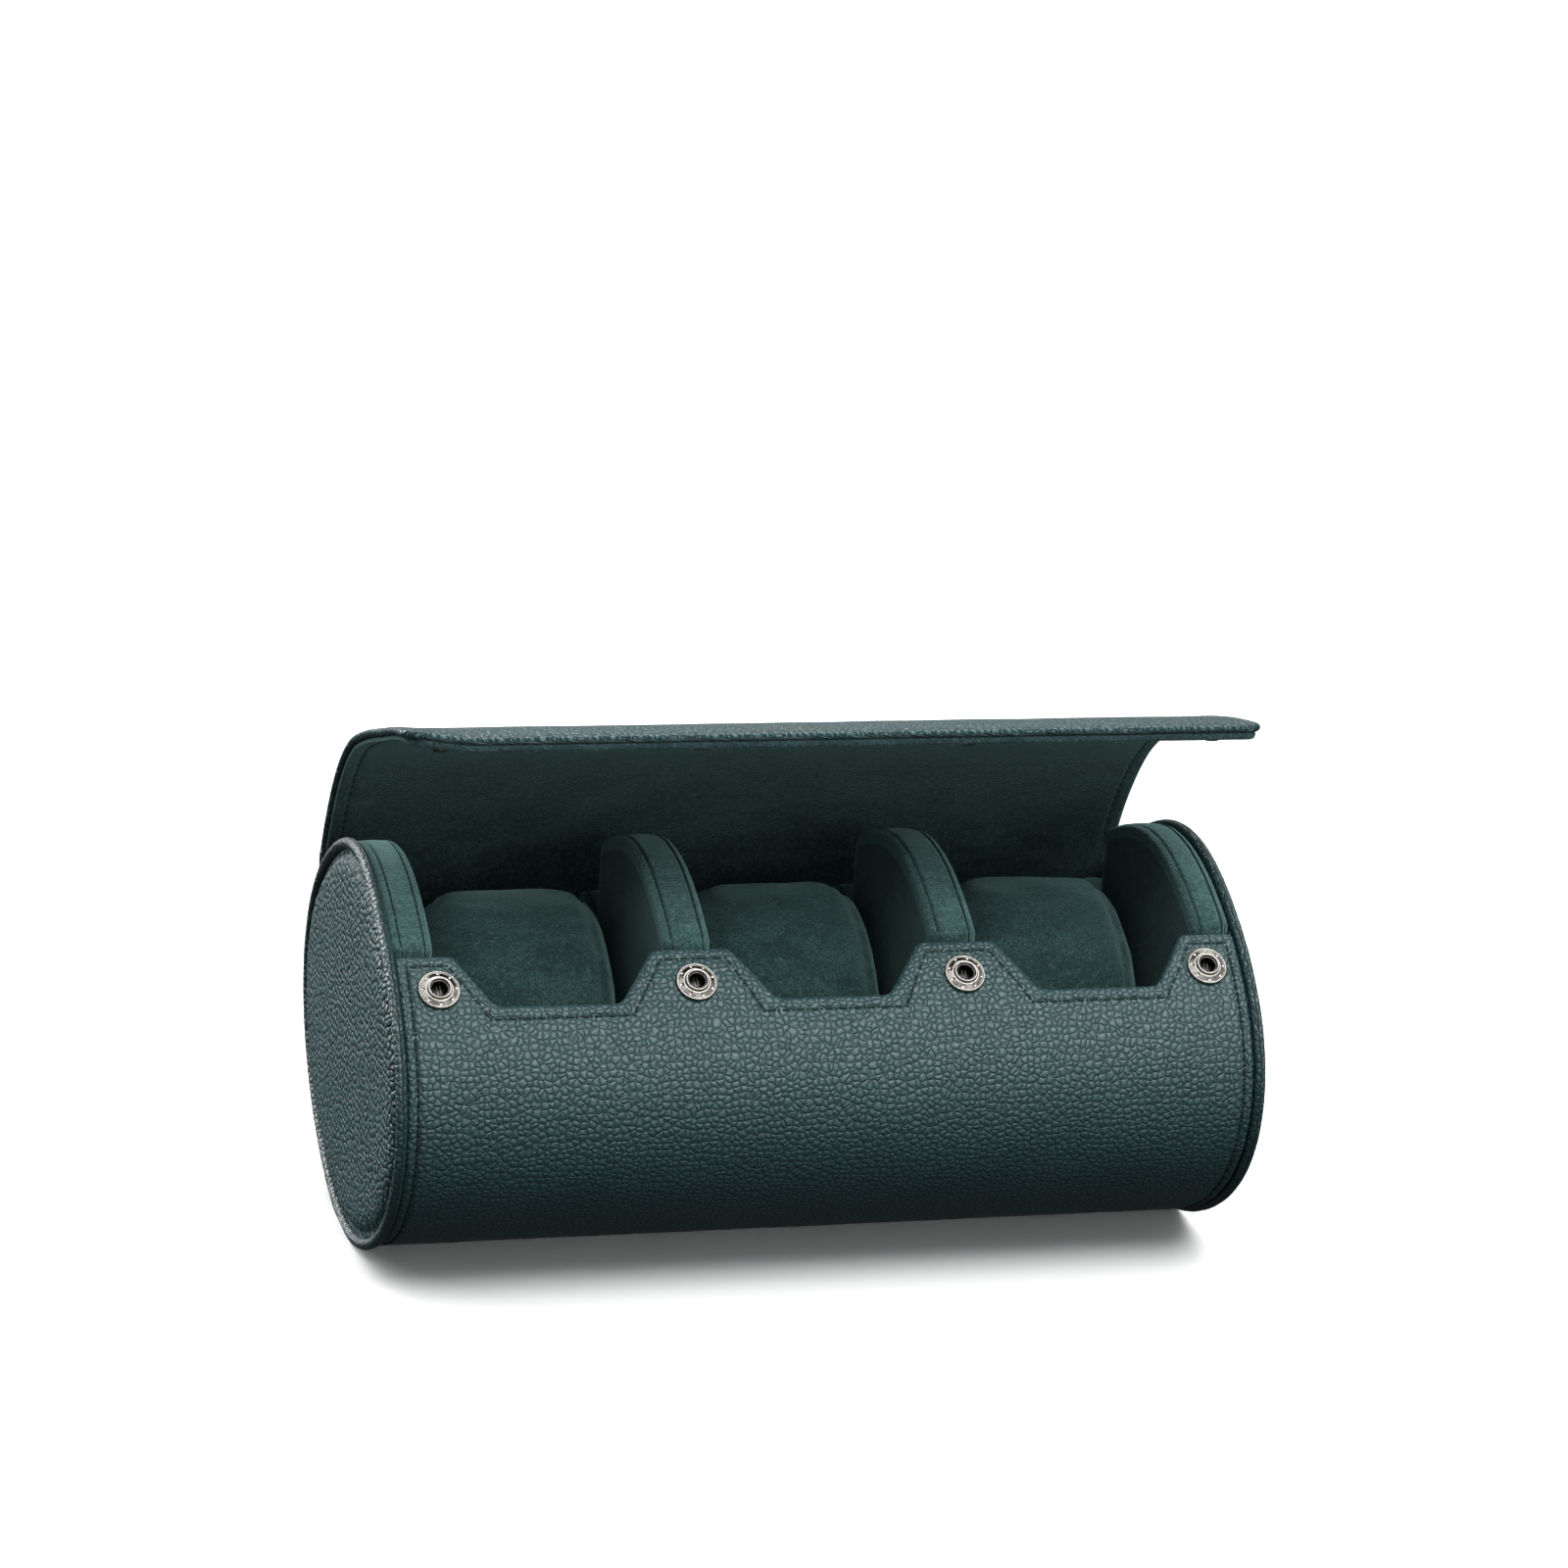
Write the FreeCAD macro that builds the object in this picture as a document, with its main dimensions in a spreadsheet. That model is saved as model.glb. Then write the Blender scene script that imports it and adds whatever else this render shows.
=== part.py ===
import FreeCAD, Part
import math
import os

# Watch travel case: an oval roll in leather with suede inside, a soft lid on a leather hinge,
# three removable pillows, four press snaps.
# Millimetres. +X along the roll, +Y to the rear (hinge side), +Z up, floor at Z = 0.

V = FreeCAD.Vector
doc = FreeCAD.newDocument("watch_roll")
sheet = doc.addObject("Spreadsheet::Sheet", "dims")
values = [
    # body section: an oval with slightly full noses and a slightly flat underside
    ("half_depth", 64.0), ("half_height", 50.0), ("nose_term", 0.018), ("base_term", -0.009),
    ("centre_height", 49.9),
    # shell layers
    ("panel_half", 109.95), ("leather_thick", 1.2), ("board_thick", 1.6), ("lining_thick", 0.7), ("layer_gap", 0.06),
    ("panel_rear_deg", 22.0), ("tab_deg", 137.0), ("cut_deg", 151.8),
    ("snap_deg", 147.2), ("snap_inner_x", 35.05), ("snap_outer_x", 100.25),
    # end walls, dividers
    ("wall_inner_x", 99.85), ("wall_thick", 10.1), ("wall_core_thick", 6.0), ("wall_core_x", 102.0),
    ("divider_x", 28.95), ("divider_thick", 12.2), ("divider_core_thick", 7.0), ("divider_core_x", 31.55),
    ("wall_rear_y", 32.6), ("wall_shoulder", 68.0), ("wall_cover_rear", 5.5),
    # end caps
    ("bead_x", 111.5), ("bead_radius", 1.38), ("bead_path_off", -0.4),
    ("end_board_x", 110.15), ("end_board_thick", 1.0), ("end_foam_x", 111.2), ("end_foam_thick", 1.45),
    ("end_leather_x", 112.7), ("end_leather_thick", 0.9), ("end_leather_round", 0.6),
    # snaps
    ("socket_radius", 5.25), ("socket_rise", 1.95), ("socket_hole_radius", 2.3), ("socket_shank_radius", 2.95),
    ("back_radius", 4.0), ("back_thick", 0.45),
    ("stud_post_radius", 1.95), ("stud_ball_radius", 2.1), ("stud_base_radius", 3.9),
    # lid
    ("lid_half", 111.5), ("lid_leather", 1.35), ("lid_board", 0.6), ("lid_lining", 1.15),
    ("lid_open_deg", 26.0), ("flap_open_deg", 26.0), ("lid_front_round", 5.0), ("lid_rear_round", 8.0),
    ("hinge_deg", 24.5), ("hinge_off", 0.6),
    ("lid_run_one", 26.0), ("lid_turn_one", 5.0), ("lid_run_two", 37.0), ("lid_turn_two", 9.0), ("lid_off", 3.7),
    # pillows and floor pads
    ("pillow_pitch", 70.45), ("pillow_long", 36.0), ("pillow_short", 27.0), ("pillow_tilt_deg", 44.0),
    ("pillow_y", -2.0), ("pillow_z", 10.0), ("pillow_length", 54.0), ("pillow_round", 12.0), ("pillow_cover", 1.6),
    ("seat_top", -8.0), ("seat_gap", 0.6), ("seat_length", 57.2),
]
for i, (alias, number) in enumerate(values):
    sheet.set("A%d" % (i + 1), alias)
    sheet.set("B%d" % (i + 1), repr(number))
    sheet.setAlias("B%d" % (i + 1), alias)
doc.recompute()


def D(alias):
    return float(sheet.get(alias))


ZC = D("centre_height")
order = []          # the kept objects, in the order they are written


def keep(obj, label):
    obj.Label = label
    order.append(obj)
    return obj


def feature(label, shape, kept=True):
    o = doc.addObject("Part::Feature", label)
    o.Shape = shape
    if kept:
        keep(o, label)
    return o


# ---------------------------------------------------------------- body section
def rad(deg, off=0.0):
    a = math.radians(deg)
    base = 1.0 / math.sqrt((math.cos(a) / D("half_depth")) ** 2 + (math.sin(a) / D("half_height")) ** 2)
    return base * (1.0 + D("nose_term") * math.cos(4 * a) + D("base_term") * math.sin(3 * a)) + off


def spt(deg, off=0.0, x=0.0, lift=True):
    r = rad(deg, off)
    a = math.radians(deg)
    return V(x, r * math.cos(a), r * math.sin(a) + (ZC if lift else 0.0))


def arc_curve(off, d0, d1, x=0.0, step=5.0):
    n = max(4, int(abs(d1 - d0) / step) + 1)
    pts = [spt(d0 + (d1 - d0) * i / (n - 1.0), off, x) for i in range(n)]
    c = Part.BSplineCurve()
    c.interpolate(pts)
    return c.toShape()


def closed_curve(off, x=0.0, lift=True, n=72):
    pts = [spt(360.0 * i / n, off, x, lift) for i in range(n)]
    c = Part.BSplineCurve()
    c.interpolate(Points=pts, PeriodicFlag=True)
    return c


def sector(o_in, o_out, d0, d1, x0, x1):
    """Solid between two offsets of the section, from angle d0 to d1, from x0 to x1."""
    e1 = arc_curve(o_out, d0, d1, x0)
    e2 = arc_curve(o_in, d0, d1, x0)
    l1 = Part.makeLine(spt(d0, o_out, x0), spt(d0, o_in, x0))
    l2 = Part.makeLine(spt(d1, o_out, x0), spt(d1, o_in, x0))
    f = Part.Face(Part.Wire(Part.__sortEdges__([e1, l2, e2, l1])))
    return f.extrude(V(x1 - x0, 0, 0))


def oval(off, x0, x1):
    f = Part.Face(Part.Wire([closed_curve(off, x0).toShape()]))
    return f.extrude(V(x1 - x0, 0, 0))


def normal_at(deg):
    a, b = spt(deg - 0.05), spt(deg + 0.05)
    t = (b - a)
    t.normalize()
    # t points the way the angle grows; the outward normal is t turned back a quarter
    return V(0, t.z, -t.y)


floor_cut = Part.makeBox(400, 300, 60, V(-200, -150, -60))

# ---------------------------------------------------------------- front edge: tabs and cut-outs
N0 = normal_at(145.0)
T0 = V(0, N0.z, -N0.y) * -1.0        # down the front of the panel
if T0.z > 0:
    T0 = T0 * -1.0
ORG = spt(145.0)


def tau(deg):
    return (spt(deg) - ORG).dot(T0)


def rounded(points):
    """Closed polygon in (x, tau) with a radius at each corner, as a face on the plane through ORG."""
    n = len(points)
    ends = []
    for i in range(n):
        (x, y, r) = points[i]
        p = V(x, y, 0)
        q0 = V(points[i - 1][0], points[i - 1][1], 0)
        q1 = V(points[(i + 1) % n][0], points[(i + 1) % n][1], 0)
        if r <= 0:
            ends.append((p, None, p))
            continue
        u, w = (q0 - p), (q1 - p)
        u.normalize()
        w.normalize()
        ang = u.getAngle(w) / 2.0
        d = r / math.tan(ang)
        bis = (u + w)
        bis.normalize()
        c = p + bis * (r / math.sin(ang))
        mid = c - bis * r
        ends.append((p + u * d, mid, p + w * d))

    def put(p):
        return ORG + V(1, 0, 0) * p.x + T0 * p.y

    edges = []
    for i in range(n):
        a, m, b = ends[i]
        if m is not None:
            edges.append(Part.Arc(put(a), put(m), put(b)).toShape())
        nx = ends[(i + 1) % n][0]
        if (nx - b).Length > 1e-6:
            edges.append(Part.makeLine(put(b), put(nx)))
    return Part.Face(Part.Wire(edges))


def front_tool(inset):
    """Everything above the front edge of the panel; inset moves the edge back from the leather's."""
    t_tab = tau(D("tab_deg")) + inset
    t_cut = tau(D("cut_deg")) + inset
    top = t_tab - 40.0
    k = inset * 0.8
    pts = [(-125, top, 0), (125, top, 0), (125, t_tab, 0)]
    # walking from +X to -X along the front edge: tab, cut-out, tab ...
    cuts = [(95.6, 86.2, 54.6, 44.75), (24.95, 14.9, -14.9, -24.95), (-44.75, -54.6, -86.2, -95.6)]
    for (xa, xb, xc, xd) in cuts:
        pts.append((xa + k, t_tab, 2.0))
        pts.append((xb + k, t_cut, 3.2))
        pts.append((xc - k, t_cut, 3.2))
        pts.append((xd - k, t_tab, 2.0))
    pts.append((-125, t_tab, 0))
    f = rounded(pts)
    s = f.extrude(N0 * 60.0)
    s.translate(N0 * -25.0)
    return s


# ---------------------------------------------------------------- snaps: where they sit
SN = normal_at(D("snap_deg"))
SNAP_X = [-D("snap_outer_x"), -D("snap_inner_x"), D("snap_inner_x"), D("snap_outer_x")]


def snap_point(x, rise=0.0):
    p = spt(D("snap_deg"), 0.0, x)
    return p + SN * rise


def along(x, r, lo, hi):
    """Cylinder on a snap's axis, from lo to hi above the leather."""
    return Part.makeCylinder(r, hi - lo, snap_point(x, lo), SN)


# ---------------------------------------------------------------- shell
gap = D("layer_gap")
rear = 360.0 + D("panel_rear_deg")
o1 = -D("leather_thick")
o2 = o1 - gap
o3 = o2 - D("board_thick")
o4 = o3 - gap
o5 = o4 - D("lining_thick")

leather = sector(o1, 0.0, 128.0, rear, -D("panel_half"), D("panel_half"))
leather = leather.cut(front_tool(0.0)).cut(floor_cut)
board = sector(o3, o2, 128.0, rear - 0.6, -D("panel_half") + 0.6, D("panel_half") - 0.6)
board = board.cut(front_tool(1.4))
lining = sector(o5, o4, 128.0, rear - 1.2, -D("wall_inner_x") + 0.25, D("wall_inner_x") - 0.25)
lining = lining.cut(front_tool(0.7))
for x in SNAP_X:
    leather = leather.cut(along(x, D("socket_shank_radius") + 0.05, -6, 3))
    board = board.cut(along(x, D("socket_shank_radius") + 0.05, -6, 3))
    lining = lining.cut(along(x, D("back_radius") + 0.2, -6, -2.6))
feature("outer_leather", leather)
feature("shell_board", board)
feature("shell_lining", lining)
feature("hinge_leather", sector(-0.35, 0.55, D("panel_rear_deg") + 0.08, D("hinge_deg") - 1.5,
                                -D("panel_half") + 4.0, D("panel_half") - 4.0))

# ---------------------------------------------------------------- end walls and dividers
INNER = o5 - 0.12


def pad_oval(label, off, thick_alias, x_alias, sign, kept=True, round_alias=None):
    """An oval plate as a padded sketch; the body's place and thickness come from the sheet."""
    body = doc.addObject("PartDesign::Body", label)
    sk = body.newObject("Sketcher::SketchObject", label + "_outline")
    plane = [f for f in body.Origin.OriginFeatures if getattr(f, "Role", "") == "YZ_Plane"][0]
    sk.AttachmentSupport = [(plane, "")]
    sk.MapMode = "FlatFace"
    n = 72
    pts = []
    for i in range(n):
        p = spt(360.0 * i / n, off, 0.0, False)
        pts.append(V(p.y, p.z, 0))
    c = Part.BSplineCurve()
    c.interpolate(Points=pts, PeriodicFlag=True)
    sk.addGeometry(c, False)
    doc.recompute()
    pad = body.newObject("PartDesign::Pad", label + "_pad")
    pad.Profile = sk
    pad.setExpression("Length", "dims." + thick_alias)
    if sign < 0:
        pad.Reversed = True
    body.Tip = pad
    doc.recompute()
    if round_alias:
        # round the outer rim of the plate
        far = max(pad.Shape.Faces, key=lambda fc: fc.CenterOfMass.x * sign)
        name = None
        for k, e in enumerate(pad.Shape.Edges):
            if abs(e.BoundBox.XMax - far.CenterOfMass.x) < 1e-4 and abs(e.BoundBox.XMin - far.CenterOfMass.x) < 1e-4:
                name = "Edge%d" % (k + 1)
        fil = body.newObject("PartDesign::Fillet", label + "_round")
        fil.Base = (pad, [name])
        fil.setExpression("Radius", "dims." + round_alias)
        body.Tip = fil
    body.setExpression("Placement.Base.x", ("-" if sign < 0 else "") + "dims." + x_alias)
    body.setExpression("Placement.Base.z", "dims.centre_height")
    doc.recompute()
    if kept:
        keep(body, label)
    else:
        body.Label = label
    return body


def rear_tool(back):
    """What is cut from a wall behind its upright rear edge, down to a shoulder at the body's rear edge; back moves it in."""
    y, z = D("wall_rear_y"), D("wall_shoulder")
    line = [(y, z), (y, 87.4), (y - 0.3, 89.9), (y - 1.2, 92.1), (y - 3.0, 94.3), (y - 6.0, 96.4), (y - 10.6, 99.3), (y - 10.6, 130.0),
            (100.0, 130.0), (100.0, z + 13.5)]
    w = Part.makePolygon([V(-125, a - back, b - back) for a, b in line + line[:1]])
    return Part.Face(w).extrude(V(250, 0, 0))


def wall_cover(label, x0, x1, core):
    """Suede cover of a wall: an oval plate with a raised rim over the top, cut at the rear, hollow for its board."""
    s = oval(INNER, x0, x1)
    rim = sector(INNER - 6.0, -0.35, D("panel_rear_deg") + 2.9, 135.7, x0, x1)
    s = s.fuse(rim).removeSplitter().cut(rear_tool(0.0))
    s = s.cut(core)
    feature(label, s)


def core_void(x0, x1):
    return oval(-6.0 + 0.06, x0 - 0.06, x1 + 0.06).cut(rear_tool(D("wall_cover_rear") - 0.06))


core_cut = feature("core_cut", rear_tool(D("wall_cover_rear")), False)


def wall_core(label, thick_alias, x_alias, sign):
    """Board of a wall: the oval plate less its rear corner."""
    blank = pad_oval(label + "_blank", -6.0, thick_alias, x_alias, sign, False)
    cut = doc.addObject("Part::Cut", label)
    cut.Base = blank
    cut.Tool = core_cut
    doc.recompute()
    keep(cut, label)


for side, sign in (("left", -1), ("right", 1)):
    wall_core("end_wall_core_" + side, "wall_core_thick", "wall_core_x", sign)
    xc0 = D("wall_core_x")
    xc1 = xc0 + D("wall_core_thick")
    x0, x1 = D("wall_inner_x"), D("wall_inner_x") + D("wall_thick")
    if sign < 0:
        x0, x1, xc0, xc1 = -x1, -x0, -xc1, -xc0
    wall_cover("end_wall_suede_" + side, x0, x1, core_void(xc0, xc1))
for side, sign in (("left", -1), ("right", 1)):
    wall_core("divider_core_" + side, "divider_core_thick", "divider_core_x", sign)
    xc0 = D("divider_core_x")
    xc1 = xc0 + D("divider_core_thick")
    x0, x1 = D("divider_x"), D("divider_x") + D("divider_thick")
    if sign < 0:
        x0, x1, xc0, xc1 = -x1, -x0, -xc1, -xc0
    wall_cover("divider_suede_" + side, x0, x1, core_void(xc0, xc1))

# ---------------------------------------------------------------- end caps
for side, sign in (("left", -1), ("right", 1)):
    pad_oval("end_board_" + side, -2.1, "end_board_thick", "end_board_x", sign)
    pad_oval("end_foam_" + side, -3.6, "end_foam_thick", "end_foam_x", sign)
    pad_oval("end_leather_" + side, -2.9, "end_leather_thick", "end_leather_x", sign, True, "end_leather_round")
    # piping round the rim
    xb = D("bead_x") * sign
    halves = []
    for d0, d1 in ((90.0, 270.0), (270.0, 450.0)):
        n = 37
        c = Part.BSplineCurve()
        c.interpolate(Points=[spt(d0 + (d1 - d0) * i / (n - 1.0), D("bead_path_off"), xb) for i in range(n)])
        ring = Part.Wire([Part.makeCircle(D("bead_radius"), spt(d0, D("bead_path_off"), xb), V(0, 1, 0))])
        halves.append(Part.Wire([c.toShape()]).makePipeShell([ring], True, True))
    tube = halves[0].fuse(halves[1]).cut(floor_cut)
    feature("bead_" + side, tube)

# ---------------------------------------------------------------- snap sockets (four alike) and their backs
socket = doc.addObject("PartDesign::Body", "socket_master")
sk = socket.newObject("Sketcher::SketchObject", "socket_profile")
plane = [f for f in socket.Origin.OriginFeatures if getattr(f, "Role", "") == "XZ_Plane"][0]
sk.AttachmentSupport = [(plane, "")]
sk.MapMode = "FlatFace"
R0, H0, RH, RS = D("socket_radius"), D("socket_rise"), D("socket_hole_radius"), D("socket_shank_radius")
prof = [(RH, -2.75), (RS, -2.75), (RS, 0.06), (R0 - 0.15, 0.06), (R0, 0.25), (R0, 0.75), (R0 - 0.35, 1.0),
        (3.25, H0 - 0.25), (3.05, H0), (RH + 0.25, H0), (RH, H0 - 0.25)]
for i in range(len(prof)):
    a, b = prof[i], prof[(i + 1) % len(prof)]
    sk.addGeometry(Part.LineSegment(V(a[0], a[1], 0), V(b[0], b[1], 0)), False)
doc.recompute()
rev = socket.newObject("PartDesign::Revolution", "socket_turned")
rev.Profile = sk
rev.ReferenceAxis = (sk, ["V_Axis"])
rev.Angle = 360.0
socket.Tip = rev
doc.recompute()
master = socket.Shape.copy()
socket.Label = "socket_master"


def on_snap(shape, x):
    """Puts a part made about +Z at the origin on a snap's axis."""
    s = shape.copy()
    rot = FreeCAD.Rotation(V(0, 0, 1), SN)
    s.Placement = FreeCAD.Placement(snap_point(x), rot).multiply(s.Placement)
    return s


feature("snap_sockets", Part.makeCompound([on_snap(master, x) for x in SNAP_X]))
ring = Part.makeCylinder(D("back_radius"), D("back_thick"), V(0, 0, -3.4)).cut(
    Part.makeCylinder(1.2, 2.0, V(0, 0, -4.0)))
feature("snap_socket_backs", Part.makeCompound([on_snap(ring, x) for x in SNAP_X]))


# ---------------------------------------------------------------- lid, designed shut and then swung open
def rotate2(p, c, deg):
    t = math.radians(deg)
    y, z = p[0] - c[0], p[1] - c[1]
    return (c[0] + y * math.cos(t) - z * math.sin(t), c[1] + y * math.sin(t) + z * math.cos(t))


hp = spt(D("hinge_deg"), D("hinge_off"), 0, False)
HP = (hp.y, hp.z)


def lid_profile():
    """Outer line of the shut lid from its hinge end to its front edge, and the index of the crease."""
    pts = []
    for i in range(47):
        a = 25.3 + (94.0 - 25.3) * i / 46.0
        soft = min(1.0, max(0.0, (36.0 - a) / 9.0))
        p = spt(a, D("lid_off") - (D("lid_off") - 1.6) * soft ** 2, 0, False)
        pts.append((p.y, p.z))
    ang = math.atan2(pts[-1][1] - pts[-2][1], pts[-1][0] - pts[-2][0])
    k = None
    for run, turn in ((D("lid_run_one"), D("lid_turn_one")), (D("lid_run_two"), D("lid_turn_two"))):
        n = 20
        for i in range(n):
            ang += math.radians(turn) / n
            pts.append((pts[-1][0] + run / n * math.cos(ang), pts[-1][1] + run / n * math.sin(ang)))
        if k is None:
            k = len(pts) - 1
            ang += math.radians(D("flap_open_deg"))
    return pts, k


SHUT, KI = lid_profile()
KS = SHUT[KI]                                     # crease, lid shut
KO = rotate2(KS, HP, -D("lid_open_deg"))          # crease at rest


def to_rest_lid(p):
    return rotate2(p, HP, -D("lid_open_deg"))


def to_rest_flap(p):
    return rotate2(to_rest_lid(p), KO, -D("flap_open_deg"))


LID = [to_rest_lid(p) for p in SHUT[:KI + 1]]
FLAP = [to_rest_flap(p) for p in SHUT[KI:]]


def resample(pts, s0, s1, n):
    """n points along a polyline from arc length s0 to arc length s1 (negative s1 counts from the end)."""
    acc = [0.0]
    for a, b in zip(pts, pts[1:]):
        acc.append(acc[-1] + math.hypot(b[0] - a[0], b[1] - a[1]))
    if s1 <= 0:
        s1 = acc[-1] + s1
    out = []
    for i in range(n):
        s = s0 + (s1 - s0) * i / (n - 1.0)
        k = 0
        while k < len(acc) - 2 and acc[k + 1] < s:
            k += 1
        f = (s - acc[k]) / (acc[k + 1] - acc[k])
        out.append((pts[k][0] + f * (pts[k + 1][0] - pts[k][0]), pts[k][1] + f * (pts[k + 1][1] - pts[k][1])))
    return out


def inward(pts, d):
    """The polyline moved d to the concave side."""
    out = []
    for i in range(len(pts)):
        a, b = pts[max(0, i - 1)], pts[min(len(pts) - 1, i + 1)]
        t = (b[0] - a[0], b[1] - a[1])
        m = math.hypot(*t)
        out.append((pts[i][0] - t[1] / m * d, pts[i][1] + t[0] / m * d))
    return out


def strip(pts, d0, d1, half, corner=0.0, corner_end=None):
    """Curved plate along a profile, between depths d0 and d1, with two corners rounded."""
    a, b = inward(pts, d0), inward(pts, d1)

    def curve(q):
        c = Part.BSplineCurve()
        c.interpolate([V(-half, y, z + ZC) for y, z in q])
        return c.toShape()

    e1, e2 = curve(a), curve(b)
    l1 = Part.makeLine(V(-half, a[0][0], a[0][1] + ZC), V(-half, b[0][0], b[0][1] + ZC))
    l2 = Part.makeLine(V(-half, a[-1][0], a[-1][1] + ZC), V(-half, b[-1][0], b[-1][1] + ZC))
    s = Part.Face(Part.Wire(Part.__sortEdges__([e1, l2, e2, l1]))).extrude(V(2 * half, 0, 0))
    if corner > 0:
        q0, q1 = (a[0], b[0]) if corner_end == "start" else (a[-1], b[-1])
        picked = []
        for e in s.Edges:
            if len(e.Vertexes) != 2:
                continue
            p, q = e.Vertexes[0].Point, e.Vertexes[1].Point
            for (u, w) in ((p, q), (q, p)):
                if abs(abs(u.x) - half) < 1e-4 and abs(u.x - w.x) < 1e-4 and \
                        math.hypot(u.y - q0[0], u.z - ZC - q0[1]) < 1e-3 and math.hypot(w.y - q1[0], w.z - ZC - q1[1]) < 1e-3:
                    picked.append(e)
        s = s.makeFillet(corner, picked)
    return s


tl, tb, tn = D("lid_leather"), D("lid_board"), D("lid_lining")
d1 = tl
d2 = d1 + 0.05
d3 = d2 + tb
d4 = d3 + 0.05
d5 = d4 + tn
# rear part of the lid
feature("lid_leather", strip(resample(LID, 0.0, -0.5, 40), 0.0, d1, D("lid_half"), D("lid_rear_round"), "start"))
feature("lid_board", strip(resample(LID, 11.4, -2.2, 36), d2, d3, D("lid_half") - 2.6))
feature("lid_lining", strip(resample(LID, 10.4, -1.2, 36), d4, d5, D("lid_half") - 1.6, 3.0, "start"))
# front part, past the crease
flap_leather = strip(resample(FLAP, 0.5, 0.0, 20), 0.0, d1, D("lid_half"), D("lid_front_round"), "end")
flap_board = strip(resample(FLAP, 2.2, -2.6, 18), d2, d3, D("lid_half") - 2.6, 3.0, "end")
flap_lining = strip(resample(FLAP, 1.2, -1.5, 18), d4, d5, D("lid_half") - 1.6, 4.0, "end")


def rest_shape(shape):
    """Moves a part of the flap from its shut place to its rest place."""
    s = shape.copy()
    s.rotate(V(0, HP[0], HP[1] + ZC), V(1, 0, 0), -D("lid_open_deg"))
    s.rotate(V(0, KO[0], KO[1] + ZC), V(1, 0, 0), -D("flap_open_deg"))
    return s


# studs: turned about the snaps' axis with the lid shut, then carried to rest
pr, br, sb = D("stud_post_radius"), D("stud_ball_radius"), D("stud_base_radius")
S0 = 2.25                                         # underside of the stud's base above the panel
prof = [(0, 0.35), (pr - 0.35, 0.35), (br - 0.05, 0.65), (br, 0.95), (br - 0.08, 1.2), (pr - 0.25, 1.45), (pr - 0.2, S0),
        (sb - 0.15, S0), (sb, S0 + 0.15), (sb, S0 + 0.5), (0, S0 + 0.5)]
pts3 = [V(r, 0, z) for r, z in prof]
stud = Part.Face(Part.makePolygon(pts3 + [pts3[0]])).revolve(V(0, 0, 0), V(0, 0, 1), 360)
studs = [rest_shape(on_snap(stud, x)) for x in SNAP_X]
for x in SNAP_X:
    seat = rest_shape(along(x, sb + 0.15, S0 - 1.6, S0 + 0.56))
    flap_lining = flap_lining.cut(seat)
    flap_board = flap_board.cut(seat)
    flap_leather = flap_leather.cut(seat)
feature("flap_leather", flap_leather)
feature("flap_board", flap_board)
feature("flap_lining", flap_lining)
feature("snap_studs", Part.makeCompound(studs))

# ---------------------------------------------------------------- pillows
PT = D("pillow_tilt_deg")


def pillow(xc, grow, length, rnd):
    a, b = D("pillow_long") + grow, D("pillow_short") + grow
    c = V(xc - length / 2.0, D("pillow_y"), D("pillow_z") + ZC)
    u = V(0, math.cos(math.radians(PT)), math.sin(math.radians(PT)))
    w = V(0, -math.sin(math.radians(PT)), math.cos(math.radians(PT)))
    el = Part.Ellipse(c + u * a, c + w * b, c)
    s = Part.Face(Part.Wire([el.toShape()])).extrude(V(length, 0, 0))
    if rnd > 0:
        rims = [e for e in s.Edges if e.BoundBox.XLength < 1e-3]
        s = s.makeFillet(rnd, rims)
    return s


for place, xc in (("left", -D("pillow_pitch")), ("middle", 0.0), ("right", D("pillow_pitch"))):
    pc = D("pillow_cover")
    outer = pillow(xc, 0.0, D("pillow_length"), D("pillow_round"))
    hollow = pillow(xc, -pc, D("pillow_length") - 2 * pc, D("pillow_round") - pc)
    core = pillow(xc, -pc - 0.05, D("pillow_length") - 2 * pc - 0.1, D("pillow_round") - pc)
    feature("pillow_suede_" + place, outer.cut(hollow))
    feature("pillow_foam_" + place, core)

# ---------------------------------------------------------------- padded floor under each pillow
seats = []
for xc in (-D("pillow_pitch"), 0.0, D("pillow_pitch")):
    L = D("seat_length")
    s = oval(INNER - 0.1, xc - L / 2, xc + L / 2)
    s = s.cut(Part.makeBox(400, 300, 120, V(-200, -150, ZC + D("seat_top"))))
    s = s.cut(pillow(xc, D("seat_gap"), L + 4.0, 0.0))
    seats.append(s)
feature("seat_pads", Part.makeCompound(seats))

doc.recompute()

# ---------------------------------------------------------------- checks before anything is written
bad = []
for o in doc.Objects:
    if o.State and any(w in ("Invalid", "Error") for w in o.State):
        bad.append("%s state %s" % (o.Name, o.State))
for o in order:
    sh = o.Shape
    if sh.isNull() or not sh.isValid():
        bad.append("%s shape" % o.Label)
    for k, sol in enumerate(sh.Solids):
        if sol.Volume <= 0:
            bad.append("%s solid %d volume" % (o.Label, k))
    if not sh.Solids:
        bad.append("%s has no solid" % o.Label)
if bad:
    raise RuntimeError("not written: " + "; ".join(bad))

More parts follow.
